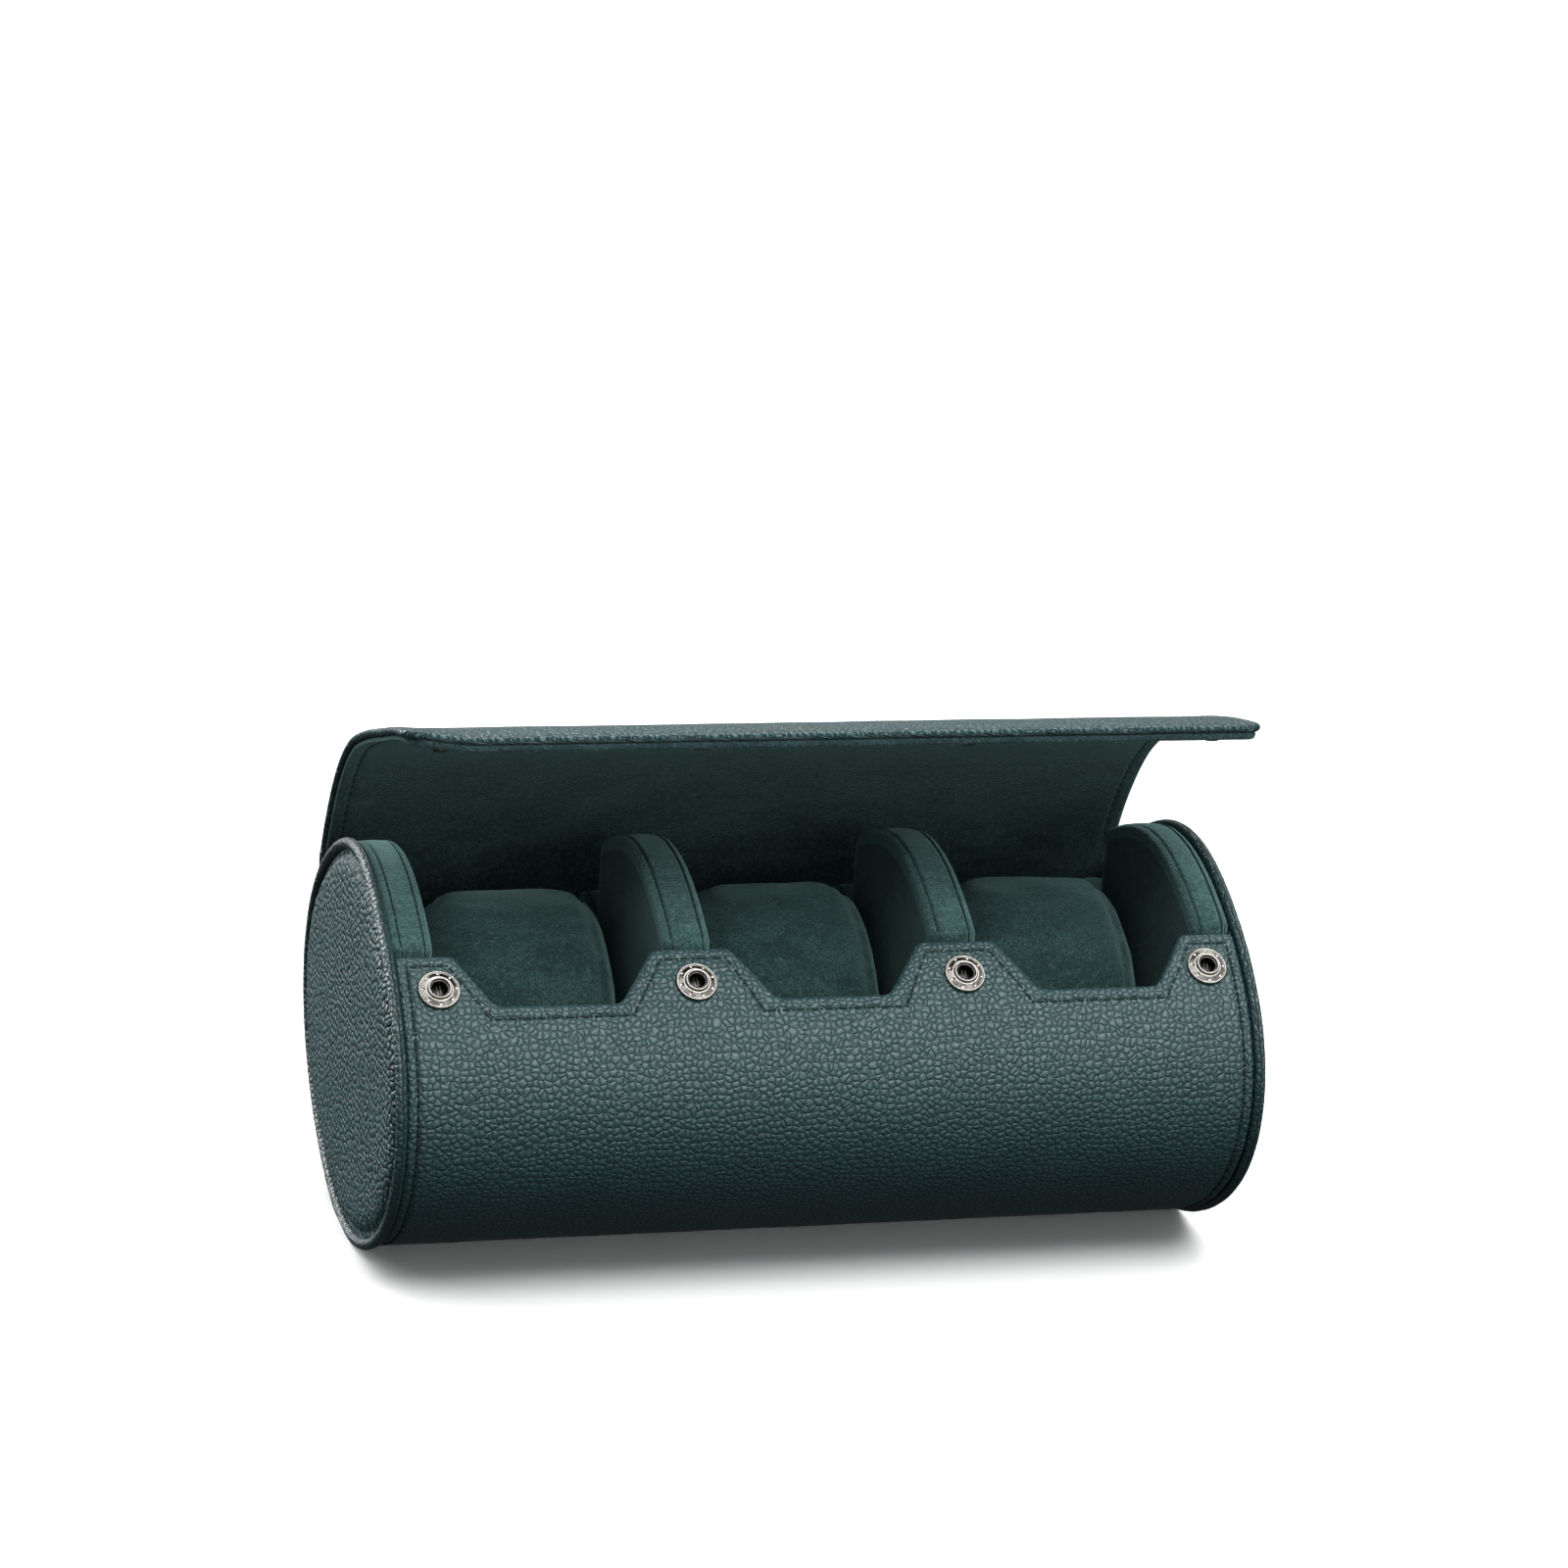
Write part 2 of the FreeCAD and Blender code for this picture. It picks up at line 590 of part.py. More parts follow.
os.makedirs("parts", exist_ok=True)
for o in order:
    sh = o.Shape
    sols = sh.Solids
    out = sols[0] if len(sols) == 1 else Part.makeCompound(sols)
    out.exportStep("parts/%s.step" % o.Label)
    bb = out.optimalBoundingBox(False)
    print("%-26s solids %d  vol %9.1f  x %7.2f %7.2f  y %7.2f %7.2f  z %7.2f %7.2f" % (
        o.Label, len(sols), out.Volume, bb.XMin, bb.XMax, bb.YMin, bb.YMax, bb.ZMin, bb.ZMax))
print("hinge", HP[0], HP[1] + ZC, "crease at rest", KO[0], KO[1] + ZC, "crease shut", KS[0], KS[1] + ZC)
print("flap tip at rest", FLAP[-1][0], FLAP[-1][1] + ZC)
print("nodes", len(order))
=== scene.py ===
import bpy
import bmesh
import math
import numpy as np
from mathutils import Vector, Matrix, noise


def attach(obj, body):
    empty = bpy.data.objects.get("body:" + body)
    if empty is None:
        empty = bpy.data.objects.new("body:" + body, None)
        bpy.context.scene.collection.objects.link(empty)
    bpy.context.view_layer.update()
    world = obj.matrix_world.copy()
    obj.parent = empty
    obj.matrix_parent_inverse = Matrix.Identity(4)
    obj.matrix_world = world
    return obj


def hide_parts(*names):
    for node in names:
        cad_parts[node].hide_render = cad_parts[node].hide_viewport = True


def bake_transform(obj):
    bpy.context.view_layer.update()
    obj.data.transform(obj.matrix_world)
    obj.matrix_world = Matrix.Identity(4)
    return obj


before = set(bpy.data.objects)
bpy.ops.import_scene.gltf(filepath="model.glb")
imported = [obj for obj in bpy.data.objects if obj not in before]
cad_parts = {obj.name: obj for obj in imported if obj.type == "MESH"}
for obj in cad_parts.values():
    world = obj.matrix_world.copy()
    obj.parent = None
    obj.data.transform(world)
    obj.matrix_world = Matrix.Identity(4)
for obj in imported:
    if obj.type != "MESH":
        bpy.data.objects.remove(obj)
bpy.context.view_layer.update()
MM = 0.001

# ------------------------------------------------------------------ section of the roll (mm, row frame)
A, B, N4, C3, ZC = 64.0, 50.0, 0.018, -0.009, 49.9


def rad(deg):
    a = np.radians(deg)
    return (1 + N4 * np.cos(4 * a) + C3 * np.sin(3 * a)) / np.sqrt((np.cos(a) / A) ** 2 + (np.sin(a) / B) ** 2)


def sec(deg, off=0.0):
    """Point(s) of the section at a polar angle, off mm outside it: (Y, Z)."""
    a = np.radians(deg)
    r = rad(deg) + off
    return r * np.cos(a), r * np.sin(a) + ZC


_DEG = np.linspace(0.0, 480.0, 9601)
_y, _z = sec(_DEG)
_ARC = np.concatenate([[0.0], np.cumsum(np.hypot(np.diff(_y), np.diff(_z)))])


def arc(deg):
    return np.interp(deg, _DEG, _ARC)


def deg_of(s):
    return np.interp(s, _ARC, _DEG)


def smooth(a, b, x):
    t = np.clip((x - a) / (b - a), 0, 1)
    return t * t * (3 - 2 * t)


# ------------------------------------------------------------------ mesh helpers
def make(name, verts_mm, faces, mats, uvs=None, face_mat=None, sharp=False):
    me = bpy.data.meshes.new(name)
    v = np.asarray(verts_mm, float) * MM
    me.from_pydata([tuple(p) for p in v], [], [tuple(int(i) for i in f) for f in faces])
    for m in (mats if isinstance(mats, (list, tuple)) else [mats]):
        me.materials.append(m)
    if uvs is not None:
        layer = me.uv_layers.new(name="UVMap")
        loops = np.zeros(len(me.loops), np.int32)
        me.loops.foreach_get("vertex_index", loops)
        uv = np.asarray(uvs, float)[loops]
        layer.data.foreach_set("uv", uv.astype(np.float32).ravel())
    if face_mat is not None:
        me.polygons.foreach_set("material_index", np.asarray(face_mat, np.int32))
    me.polygons.foreach_set("use_smooth", [not sharp] * len(me.polygons))
    me.update()
    o = bpy.data.objects.new(name, me)
    bpy.context.scene.collection.objects.link(o)
    return o


def tidy(o, thick=0.0, faces_out=True):
    """Gives a sheet its thickness, welds doubled points and turns the faces of a closed piece outwards."""
    if thick:
        m = o.modifiers.new("thick", "SOLIDIFY")
        m.thickness = thick * MM
        m.offset = -1.0
        dg = bpy.context.evaluated_depsgraph_get()
        me = bpy.data.meshes.new_from_object(o.evaluated_get(dg))
        o.modifiers.clear()
        o.data = me
    bm = bmesh.new()
    bm.from_mesh(o.data)
    bmesh.ops.remove_doubles(bm, verts=bm.verts, dist=2e-6)
    if faces_out:
        bmesh.ops.recalc_face_normals(bm, faces=bm.faces)
        if bm.calc_volume(signed=True) < 0:
            bmesh.ops.reverse_faces(bm, faces=bm.faces)
    bm.to_mesh(o.data)
    bm.free()
    return o


def grid_faces(nu, nv, wrap_u=False, wrap_v=False, base=0, flip=False):
    """Quads of a grid stored as index = i * nv + j."""
    f = []
    for i in range(nu if wrap_u else nu - 1):
        i2 = (i + 1) % nu
        for j in range(nv if wrap_v else nv - 1):
            j2 = (j + 1) % nv
            q = (base + i * nv + j, base + i2 * nv + j, base + i2 * nv + j2, base + i * nv + j2)
            f.append(q[::-1] if flip else q)
    return f


def wobble(p, scale, seed=0.0):
    """Smooth noise at points in mm, about -1 to 1."""
    return np.array([noise.noise(Vector((x / scale + seed, y / scale, z / scale))) for x, y, z in p])


# ------------------------------------------------------------------ materials
def new_mat(name):
    m = bpy.data.materials.new(name)
    m.use_nodes = True
    nt = m.node_tree
    nt.nodes.clear()
    out = nt.nodes.new("ShaderNodeOutputMaterial")
    b = nt.nodes.new("ShaderNodeBsdfPrincipled")
    nt.links.new(b.outputs[0], out.inputs[0])
    return m, nt, b


def N(nt, kind, **kw):
    n = nt.nodes.new(kind)
    for k, v in kw.items():
        if hasattr(n, k):
            setattr(n, k, v)
    return n


def math_node(nt, op, a, b=None, clamp=False):
    n = nt.nodes.new("ShaderNodeMath")
    n.operation = op
    n.use_clamp = clamp
    for i, v in enumerate((a, b)):
        if v is None:
            continue
        if isinstance(v, (int, float)):
            n.inputs[i].default_value = v
        else:
            nt.links.new(v, n.inputs[i])
    return n.outputs[0]


def ramp(nt, src, lo, hi, to0=0.0, to1=1.0, kind="SMOOTHSTEP"):
    n = nt.nodes.new("ShaderNodeMapRange")
    n.interpolation_type = kind
    n.inputs["From Min"].default_value = lo
    n.inputs["From Max"].default_value = hi
    n.inputs["To Min"].default_value = to0
    n.inputs["To Max"].default_value = to1
    nt.links.new(src, n.inputs["Value"])
    return n.outputs[0]


def mix_color(nt, fac, a, b):
    n = nt.nodes.new("ShaderNodeMix")
    n.data_type = "RGBA"
    if isinstance(fac, (int, float)):
        n.inputs["Factor"].default_value = fac
    else:
        nt.links.new(fac, n.inputs["Factor"])
    for sock, v in (("A", a), ("B", b)):
        s = [i for i in n.inputs if i.name == sock and i.type == "RGBA"][0]
        if isinstance(v, tuple):
            s.default_value = (*v, 1.0)
        else:
            nt.links.new(v, s)
    return [o for o in n.outputs if o.type == "RGBA"][0]


def noise_tex(nt, vec, scale, detail=2.0, rough=0.5, dims="3D"):
    n = nt.nodes.new("ShaderNodeTexNoise")
    n.noise_dimensions = dims
    n.inputs["Scale"].default_value = scale
    n.inputs["Detail"].default_value = detail
    n.inputs["Roughness"].default_value = rough
    nt.links.new(vec, n.inputs["Vector"])
    return n


# crease is the colour of the painted shade in the creases between pebbles; line sets how wide that painted crease line
# is
def leather(name, cell=1.75, base=(0.020, 0.052, 0.055), crease=(0.010, 0.026, 0.028), use_uv=True, depth=0.00036,
            rough=0.43, strength=1.0, stretch=1.0, line=0.095, spec=0.5):
    """Pebbled leather. UVs are in millimetres / 100."""
    m, nt, b = new_mat(name)
    if use_uv:
        tc = nt.nodes.new("ShaderNodeUVMap")
        tc.uv_map = "UVMap"
        src, k, dims = tc.outputs["UV"], 100.0, "2D"
    else:
        tc = nt.nodes.new("ShaderNodeTexCoord")
        src, k, dims = tc.outputs["Object"], 1000.0, "3D"
    sc = nt.nodes.new("ShaderNodeMapping")
    sc.inputs["Scale"].default_value = (k, k * stretch, k)
    nt.links.new(src, sc.inputs["Vector"])
    mm = sc.outputs["Vector"]                       # coordinates in mm
    warp = noise_tex(nt, mm, 0.36, 1.5, 0.5, dims)
    w = nt.nodes.new("ShaderNodeVectorMath")
    w.operation = "MULTIPLY_ADD"
    nt.links.new(warp.outputs["Color"], w.inputs[0])
    w.inputs[1].default_value = (1.25, 1.25, 1.25)
    nt.links.new(mm, w.inputs[2])

    def cells(feature, size):
        v = nt.nodes.new("ShaderNodeTexVoronoi")
        v.voronoi_dimensions = dims
        v.feature = feature
        v.inputs["Scale"].default_value = 1.0 / size
        v.inputs["Randomness"].default_value = 0.80
        nt.links.new(w.outputs[0], v.inputs["Vector"])
        return v

    vo, vf = cells("DISTANCE_TO_EDGE", cell), cells("F1", cell)
    folds = cells("DISTANCE_TO_EDGE", cell * 3.3)    # longer, deeper creases round groups of pebbles
    edge = vo.outputs["Distance"]
    fine = noise_tex(nt, mm, 2.6, 3.0, 0.6, dims)
    wide = noise_tex(nt, mm, 0.05, 2.0, 0.5, dims)
    mid = noise_tex(nt, mm, 0.30, 2.0, 0.5, dims)
    # rounded pebble: 1 - (1 - d / 0.40) squared
    inv = ramp(nt, edge, 0.0, 0.36, 1.0, 0.0, "LINEAR")
    flat = math_node(nt, "SUBTRACT", 1.0, math_node(nt, "MULTIPLY", inv, inv))
    blob = ramp(nt, vf.outputs["Distance"], 0.04, 0.66, 1.0, 0.0)
    dome = math_node(nt, "ADD", math_node(nt, "MULTIPLY", flat, 0.55), math_node(nt, "MULTIPLY", blob, 0.45))
    fold = ramp(nt, folds.outputs["Distance"], 0.0, 0.085)
    cellv = nt.nodes.new("ShaderNodeSeparateColor")
    nt.links.new(vf.outputs["Color"], cellv.inputs[0])
    h1 = math_node(nt, "MULTIPLY", dome, 0.80)
    h2 = math_node(nt, "MULTIPLY", fold, 0.18)
    h3 = math_node(nt, "MULTIPLY", fine.outputs["Fac"], 0.10)
    h4 = math_node(nt, "MULTIPLY", cellv.outputs[0], 0.14)
    hs = math_node(nt, "ADD", math_node(nt, "ADD", h1, h2), math_node(nt, "ADD", h3, h4))
    bump = nt.nodes.new("ShaderNodeBump")
    bump.inputs["Strength"].default_value = strength
    bump.inputs["Distance"].default_value = depth
    nt.links.new(hs, bump.inputs["Height"])
    nt.links.new(bump.outputs["Normal"], b.inputs["Normal"])
    # colour: painted shade in the creases and along the fold lines, pebble tops painted paler by the dome height as if
    # lit, a random tone per pebble, slow darker patches
    # light and dark: the paler top and darker foot of each pebble, painted light and shade by the dome height
    light = tuple(min(1.0, c * 1.30) for c in base)
    dark = tuple(c * 0.80 for c in base)
    dome_shade_and_tone = math_node(nt, "ADD", math_node(nt, "MULTIPLY", dome, 0.72), math_node(nt, "MULTIPLY", cellv.outputs[1], 0.28))
    c0 = mix_color(nt, dome_shade_and_tone, dark, light)
    c1 = mix_color(nt, ramp(nt, wide.outputs["Fac"], 0.3, 0.7, 0.0, 0.35), c0, tuple(c * 0.80 for c in base))
    # where the crease colour, painted shade, shows: along the cell edges and the fold lines, broken up by noise
    open_ = math_node(nt, "MAXIMUM", ramp(nt, edge, 0.0, line), ramp(nt, mid.outputs["Fac"], 0.44, 0.70, 0.0, 0.55))
    shut = math_node(nt, "MINIMUM", open_, ramp(nt, folds.outputs["Distance"], 0.0, 0.045, 0.60, 1.0))
    c2 = mix_color(nt, shut, crease, c1)
    nt.links.new(c2, b.inputs["Base Color"])
    rr = math_node(nt, "ADD", ramp(nt, fine.outputs["Fac"], 0.2, 0.8, rough - 0.06, rough + 0.08),
                   ramp(nt, edge, 0.0, 0.10, 0.25, 0.0))
    nt.links.new(rr, b.inputs["Roughness"])
    b.inputs["Specular IOR Level"].default_value = spec
    return m


def suede(name, base=(0.026, 0.058, 0.058), dark=(0.014, 0.030, 0.031), patch=0.06, sheen=0.55, fuzz=0.00016, low=0.38, high=0.66):
    """Napped suede: short fibres, and soft patches where the nap lies the other way."""
    m, nt, b = new_mat(name)
    tc = nt.nodes.new("ShaderNodeTexCoord")
    sc = nt.nodes.new("ShaderNodeMapping")
    sc.inputs["Scale"].default_value = (1000, 1000, 1000)
    nt.links.new(tc.outputs["Object"], sc.inputs["Vector"])
    mm = sc.outputs["Vector"]
    st = nt.nodes.new("ShaderNodeMapping")
    st.inputs["Scale"].default_value = (1.0, 2.2, 2.2)
    nt.links.new(mm, st.inputs["Vector"])
    big = noise_tex(nt, st.outputs["Vector"], patch, 4.0, 0.62)
    mid = noise_tex(nt, mm, 0.75, 3.0, 0.62)
    fib = noise_tex(nt, mm, 2.1, 2.0, 0.62)
    c0 = mix_color(nt, ramp(nt, big.outputs["Fac"], low, high), dark, base)
    c1 = mix_color(nt, ramp(nt, mid.outputs["Fac"], 0.44, 0.68, 0.0, 0.60), c0, tuple(c * 1.55 for c in base))
    c2 = mix_color(nt, ramp(nt, fib.outputs["Fac"], 0.36, 0.58, 0.92, 0.0), c1, tuple(c * 0.50 for c in dark))
    nt.links.new(c2, b.inputs["Base Color"])
    b.inputs["Roughness"].default_value = 0.92
    b.inputs["Specular IOR Level"].default_value = 0.12
    b.inputs["Sheen Weight"].default_value = sheen
    b.inputs["Sheen Roughness"].default_value = 0.45
    b.inputs["Sheen Tint"].default_value = (0.35, 0.62, 0.58, 1.0)
    hsum = math_node(nt, "ADD", math_node(nt, "MULTIPLY", fib.outputs["Fac"], 1.0),
                     math_node(nt, "MULTIPLY", mid.outputs["Fac"], 0.35))
    bump = nt.nodes.new("ShaderNodeBump")
    bump.inputs["Strength"].default_value = 1.0
    bump.inputs["Distance"].default_value = fuzz * 2.2
    nt.links.new(hsum, bump.inputs["Height"])
    nt.links.new(bump.outputs["Normal"], b.inputs["Normal"])
    return m


def plain(name, c_lo, c_hi, scale, rough, metallic=0.0, bump_mm=0.05, spec=0.5, detail=4.0):
    """Small-scale procedural finish for metal, thread, board and foam."""
    m, nt, b = new_mat(name)
    tc = nt.nodes.new("ShaderNodeTexCoord")
    sc = nt.nodes.new("ShaderNodeMapping")
    sc.inputs["Scale"].default_value = (1000, 1000, 1000)
    nt.links.new(tc.outputs["Object"], sc.inputs["Vector"])
    n1 = noise_tex(nt, sc.outputs["Vector"], scale, detail, 0.6)
    nt.links.new(mix_color(nt, ramp(nt, n1.outputs["Fac"], 0.3, 0.7), c_lo, c_hi), b.inputs["Base Color"])
    nt.links.new(ramp(nt, n1.outputs["Fac"], 0.25, 0.75, rough * 0.8, rough * 1.25), b.inputs["Roughness"])
    b.inputs["Metallic"].default_value = metallic
    b.inputs["Specular IOR Level"].default_value = spec
    bump = nt.nodes.new("ShaderNodeBump")
    bump.inputs["Strength"].default_value = 0.5
    bump.inputs["Distance"].default_value = bump_mm * MM
    nt.links.new(n1.outputs["Fac"], bump.inputs["Height"])
    nt.links.new(bump.outputs["Normal"], b.inputs["Normal"])
    return m


M_LEATHER = leather("leather_body")
# end caps: the body's leather painted brighter as painted light, with darker creases as stronger painted shade
M_CAP = leather("leather_cap", cell=2.0, base=(0.029, 0.080, 0.084), crease=(0.002, 0.006, 0.007), rough=0.42, depth=0.00066, line=0.26, spec=0.26)
M_LID = leather("leather_lid", cell=1.8, base=(0.021, 0.059, 0.062), crease=(0.006, 0.016, 0.017), rough=0.26, depth=0.00085, line=0.12, spec=0.38)
M_BEAD = leather("leather_piping", cell=1.7, use_uv=True, base=(0.015, 0.040, 0.042), depth=0.00030, rough=0.36, crease=(0.006, 0.016, 0.017), line=0.08)
# dark material for the stitch holes: painted shade
M_HOLE_SHADE = plain("edge_shadow", (0.004, 0.009, 0.009), (0.010, 0.022, 0.022), 1.2, 0.8, 0.0, 0.08, 0.2)
M_SUEDE = suede("suede_lining", base=(0.031, 0.062, 0.064), dark=(0.017, 0.033, 0.035))
# walls: one suede in two copies; the rims and top band raised a little as painted light, the flat sides a darker copy
# as painted shade
M_RIM = suede("suede_walls", base=(0.044, 0.096, 0.094), dark=(0.024, 0.054, 0.054), patch=0.09, sheen=0.7)
M_SIDE_SHADED = suede("suede_wall_sides_painted_shade", base=(0.021, 0.042, 0.043), dark=(0.013, 0.026, 0.027), patch=0.08, sheen=0.5)
M_PILLOW = suede("suede_pillow", base=(0.028, 0.064, 0.063), dark=(0.015, 0.035, 0.035), patch=0.05, sheen=0.7)
# dark thread for the front and the lining: darker than the lid's own thread colour, as painted shade of the stitch
# holes
M_THREAD = plain("thread", (0.003, 0.009, 0.009), (0.009, 0.022, 0.021), 5.0, 0.7, 0.0, 0.10, 0.25)
M_THREAD_LID = plain("thread_lid", (0.012, 0.031, 0.032), (0.024, 0.058, 0.060), 5.0, 0.6, 0.0, 0.10, 0.3)
M_SEAM = plain("thread_seam", (0.006, 0.014, 0.014), (0.014, 0.033, 0.033), 5.0, 0.8, 0.0, 0.10, 0.2)
M_NICKEL = plain("nickel", (0.25, 0.24, 0.22), (0.36, 0.345, 0.32), 0.8, 0.24, 1.0, 0.010)
# a darker copy of the nickel as painted shade, for the parts down in the socket holes and the studs under the lid
M_NICKEL_SHADED = plain("nickel_inside_painted_shade", (0.06, 0.06, 0.058), (0.12, 0.118, 0.112), 1.0, 0.38, 1.0, 0.02)
M_BOARD = plain("fibre_board", (0.24, 0.21, 0.17), (0.34, 0.30, 0.24), 1.6, 0.85, 0.0, 0.08)
M_FOAM = plain("foam", (0.55, 0.54, 0.50), (0.72, 0.71, 0.66), 2.4, 0.95, 0.0, 0.25)

for name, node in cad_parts.items():
    mat = M_LEATHER
    if "board" in name or "core" in name:
        mat = M_BOARD
    elif "foam" in name:
        mat = M_FOAM
    elif "suede" in name or "lining" in name or "seat" in name:
        mat = M_SUEDE
    elif "snap" in name:
        mat = M_NICKEL
    for i in range(max(1, len(node.material_slots))):
        if node.material_slots:
            node.material_slots[i].material = mat
        else:
            node.data.materials.append(mat)

# ------------------------------------------------------------------ front edge of the body (x, arc length)
S_TAB = float(arc(137.0))
S_CUT = float(arc(151.85))


def front_edge():
    """The edge from left to right as (x, s) with rounded corners, 0.3 mm apart."""
    raw = [(-110.0, S_TAB, 0.0)]
    half = [(95.6, S_TAB, 2.2), (86.4, S_CUT, 4.0), (54.4, S_CUT, 4.0), (44.6, S_TAB, 2.2), (24.9, S_TAB, 2.2), (15.0, S_CUT, 4.0)]
    raw += [(-x, s, r) for x, s, r in half] + [(x, s, r) for x, s, r in half[::-1]] + [(110.0, S_TAB, 0.0)]
    out = []
    for i, (x, s, r) in enumerate(raw):
        p = np.array([x, s])
        if r == 0:
            out.append([p])
            continue
        u = np.array(raw[i - 1][:2]) - p
        w = np.array(raw[i + 1][:2]) - p
        u, w = u / np.linalg.norm(u), w / np.linalg.norm(w)
        half_angle = math.acos(np.clip(u @ w, -1, 1)) / 2
        d = r / math.tan(half_angle)
        c = p + (u + w) / np.linalg.norm(u + w) * r / math.sin(half_angle)
        p0, p1 = p + u * d, p + w * d
        a0, a1 = math.atan2(*(p0 - c)[::-1]), math.atan2(*(p1 - c)[::-1])
        da = (a1 - a0 + math.pi) % (2 * math.pi) - math.pi
        out.append([c + r * np.array([math.cos(a0 + da * t), math.sin(a0 + da * t)]) for t in np.linspace(0, 1, 9)])
    pts = np.array([q for g in out for q in g])
    keep = [pts[0]]
    for a, b in zip(pts, pts[1:]):
        n = max(1, int(np.linalg.norm(b - a) / 0.3))
        keep += [a + (b - a) * k / n for k in range(1, n + 1)]
    return np.array(keep)


EDGE = front_edge()


def edge_s(x):
    """Arc length of the front edge at x; its slopes never turn back, so this is one value."""
    return np.interp(x, EDGE[:, 0], EDGE[:, 1])


def dist_to(line, x, s):
    """Distance in mm from points to a polyline in (x, s)."""
    d = np.full(x.shape, 99.0)
    for i in range(0, len(line), 1):
        q = (x - line[i, 0]) ** 2 + (s - line[i, 1]) ** 2
        np.minimum(d, q, out=d)
    return np.sqrt(d)


# stitch line: down the sides, along the tabs and round the cut-outs
ST_TAB, ST_CUT = float(arc(140.1)), float(arc(154.9))
ST_CORNERS = [(-107.3, ST_TAB), (-97.2, ST_TAB), (-88.1, ST_CUT), (-52.0, ST_CUT), (-42.9, ST_TAB), (-26.3, ST_TAB), (-18.5, ST_CUT),
              (18.5, ST_CUT), (26.3, ST_TAB), (42.9, ST_TAB), (52.0, ST_CUT), (88.1, ST_CUT), (97.2, ST_TAB), (107.3, ST_TAB)]


def fine_line(points, step):
    out = [np.array(points[0], float)]
    for a, b in zip(points, points[1:]):
        a, b = np.array(a, float), np.array(b, float)
        n = max(1, int(np.linalg.norm(b - a) / step))
        out += [a + (b - a) * k / n for k in range(1, n + 1)]
    return np.array(out)


S_LOW = float(arc(316.0))
ST_LINE = fine_line([(-107.3, S_LOW)] + ST_CORNERS + [(107.3, S_LOW)], 0.35)


def surface(x, s, off=0.0):
    """Point on the body at x and arc length s, with the outward direction."""
    d = deg_of(s)
    y, z = sec(d, off)
    y1, z1 = sec(d + 0.05)
    y0, z0 = sec(d - 0.05)
    t = np.array([0.0, y1 - y0, z1 - z0])
    t /= np.linalg.norm(t)
    n = np.array([0.0, t[2], -t[1]])
    return np.array([x, y, max(z, 0.45)]), n, t


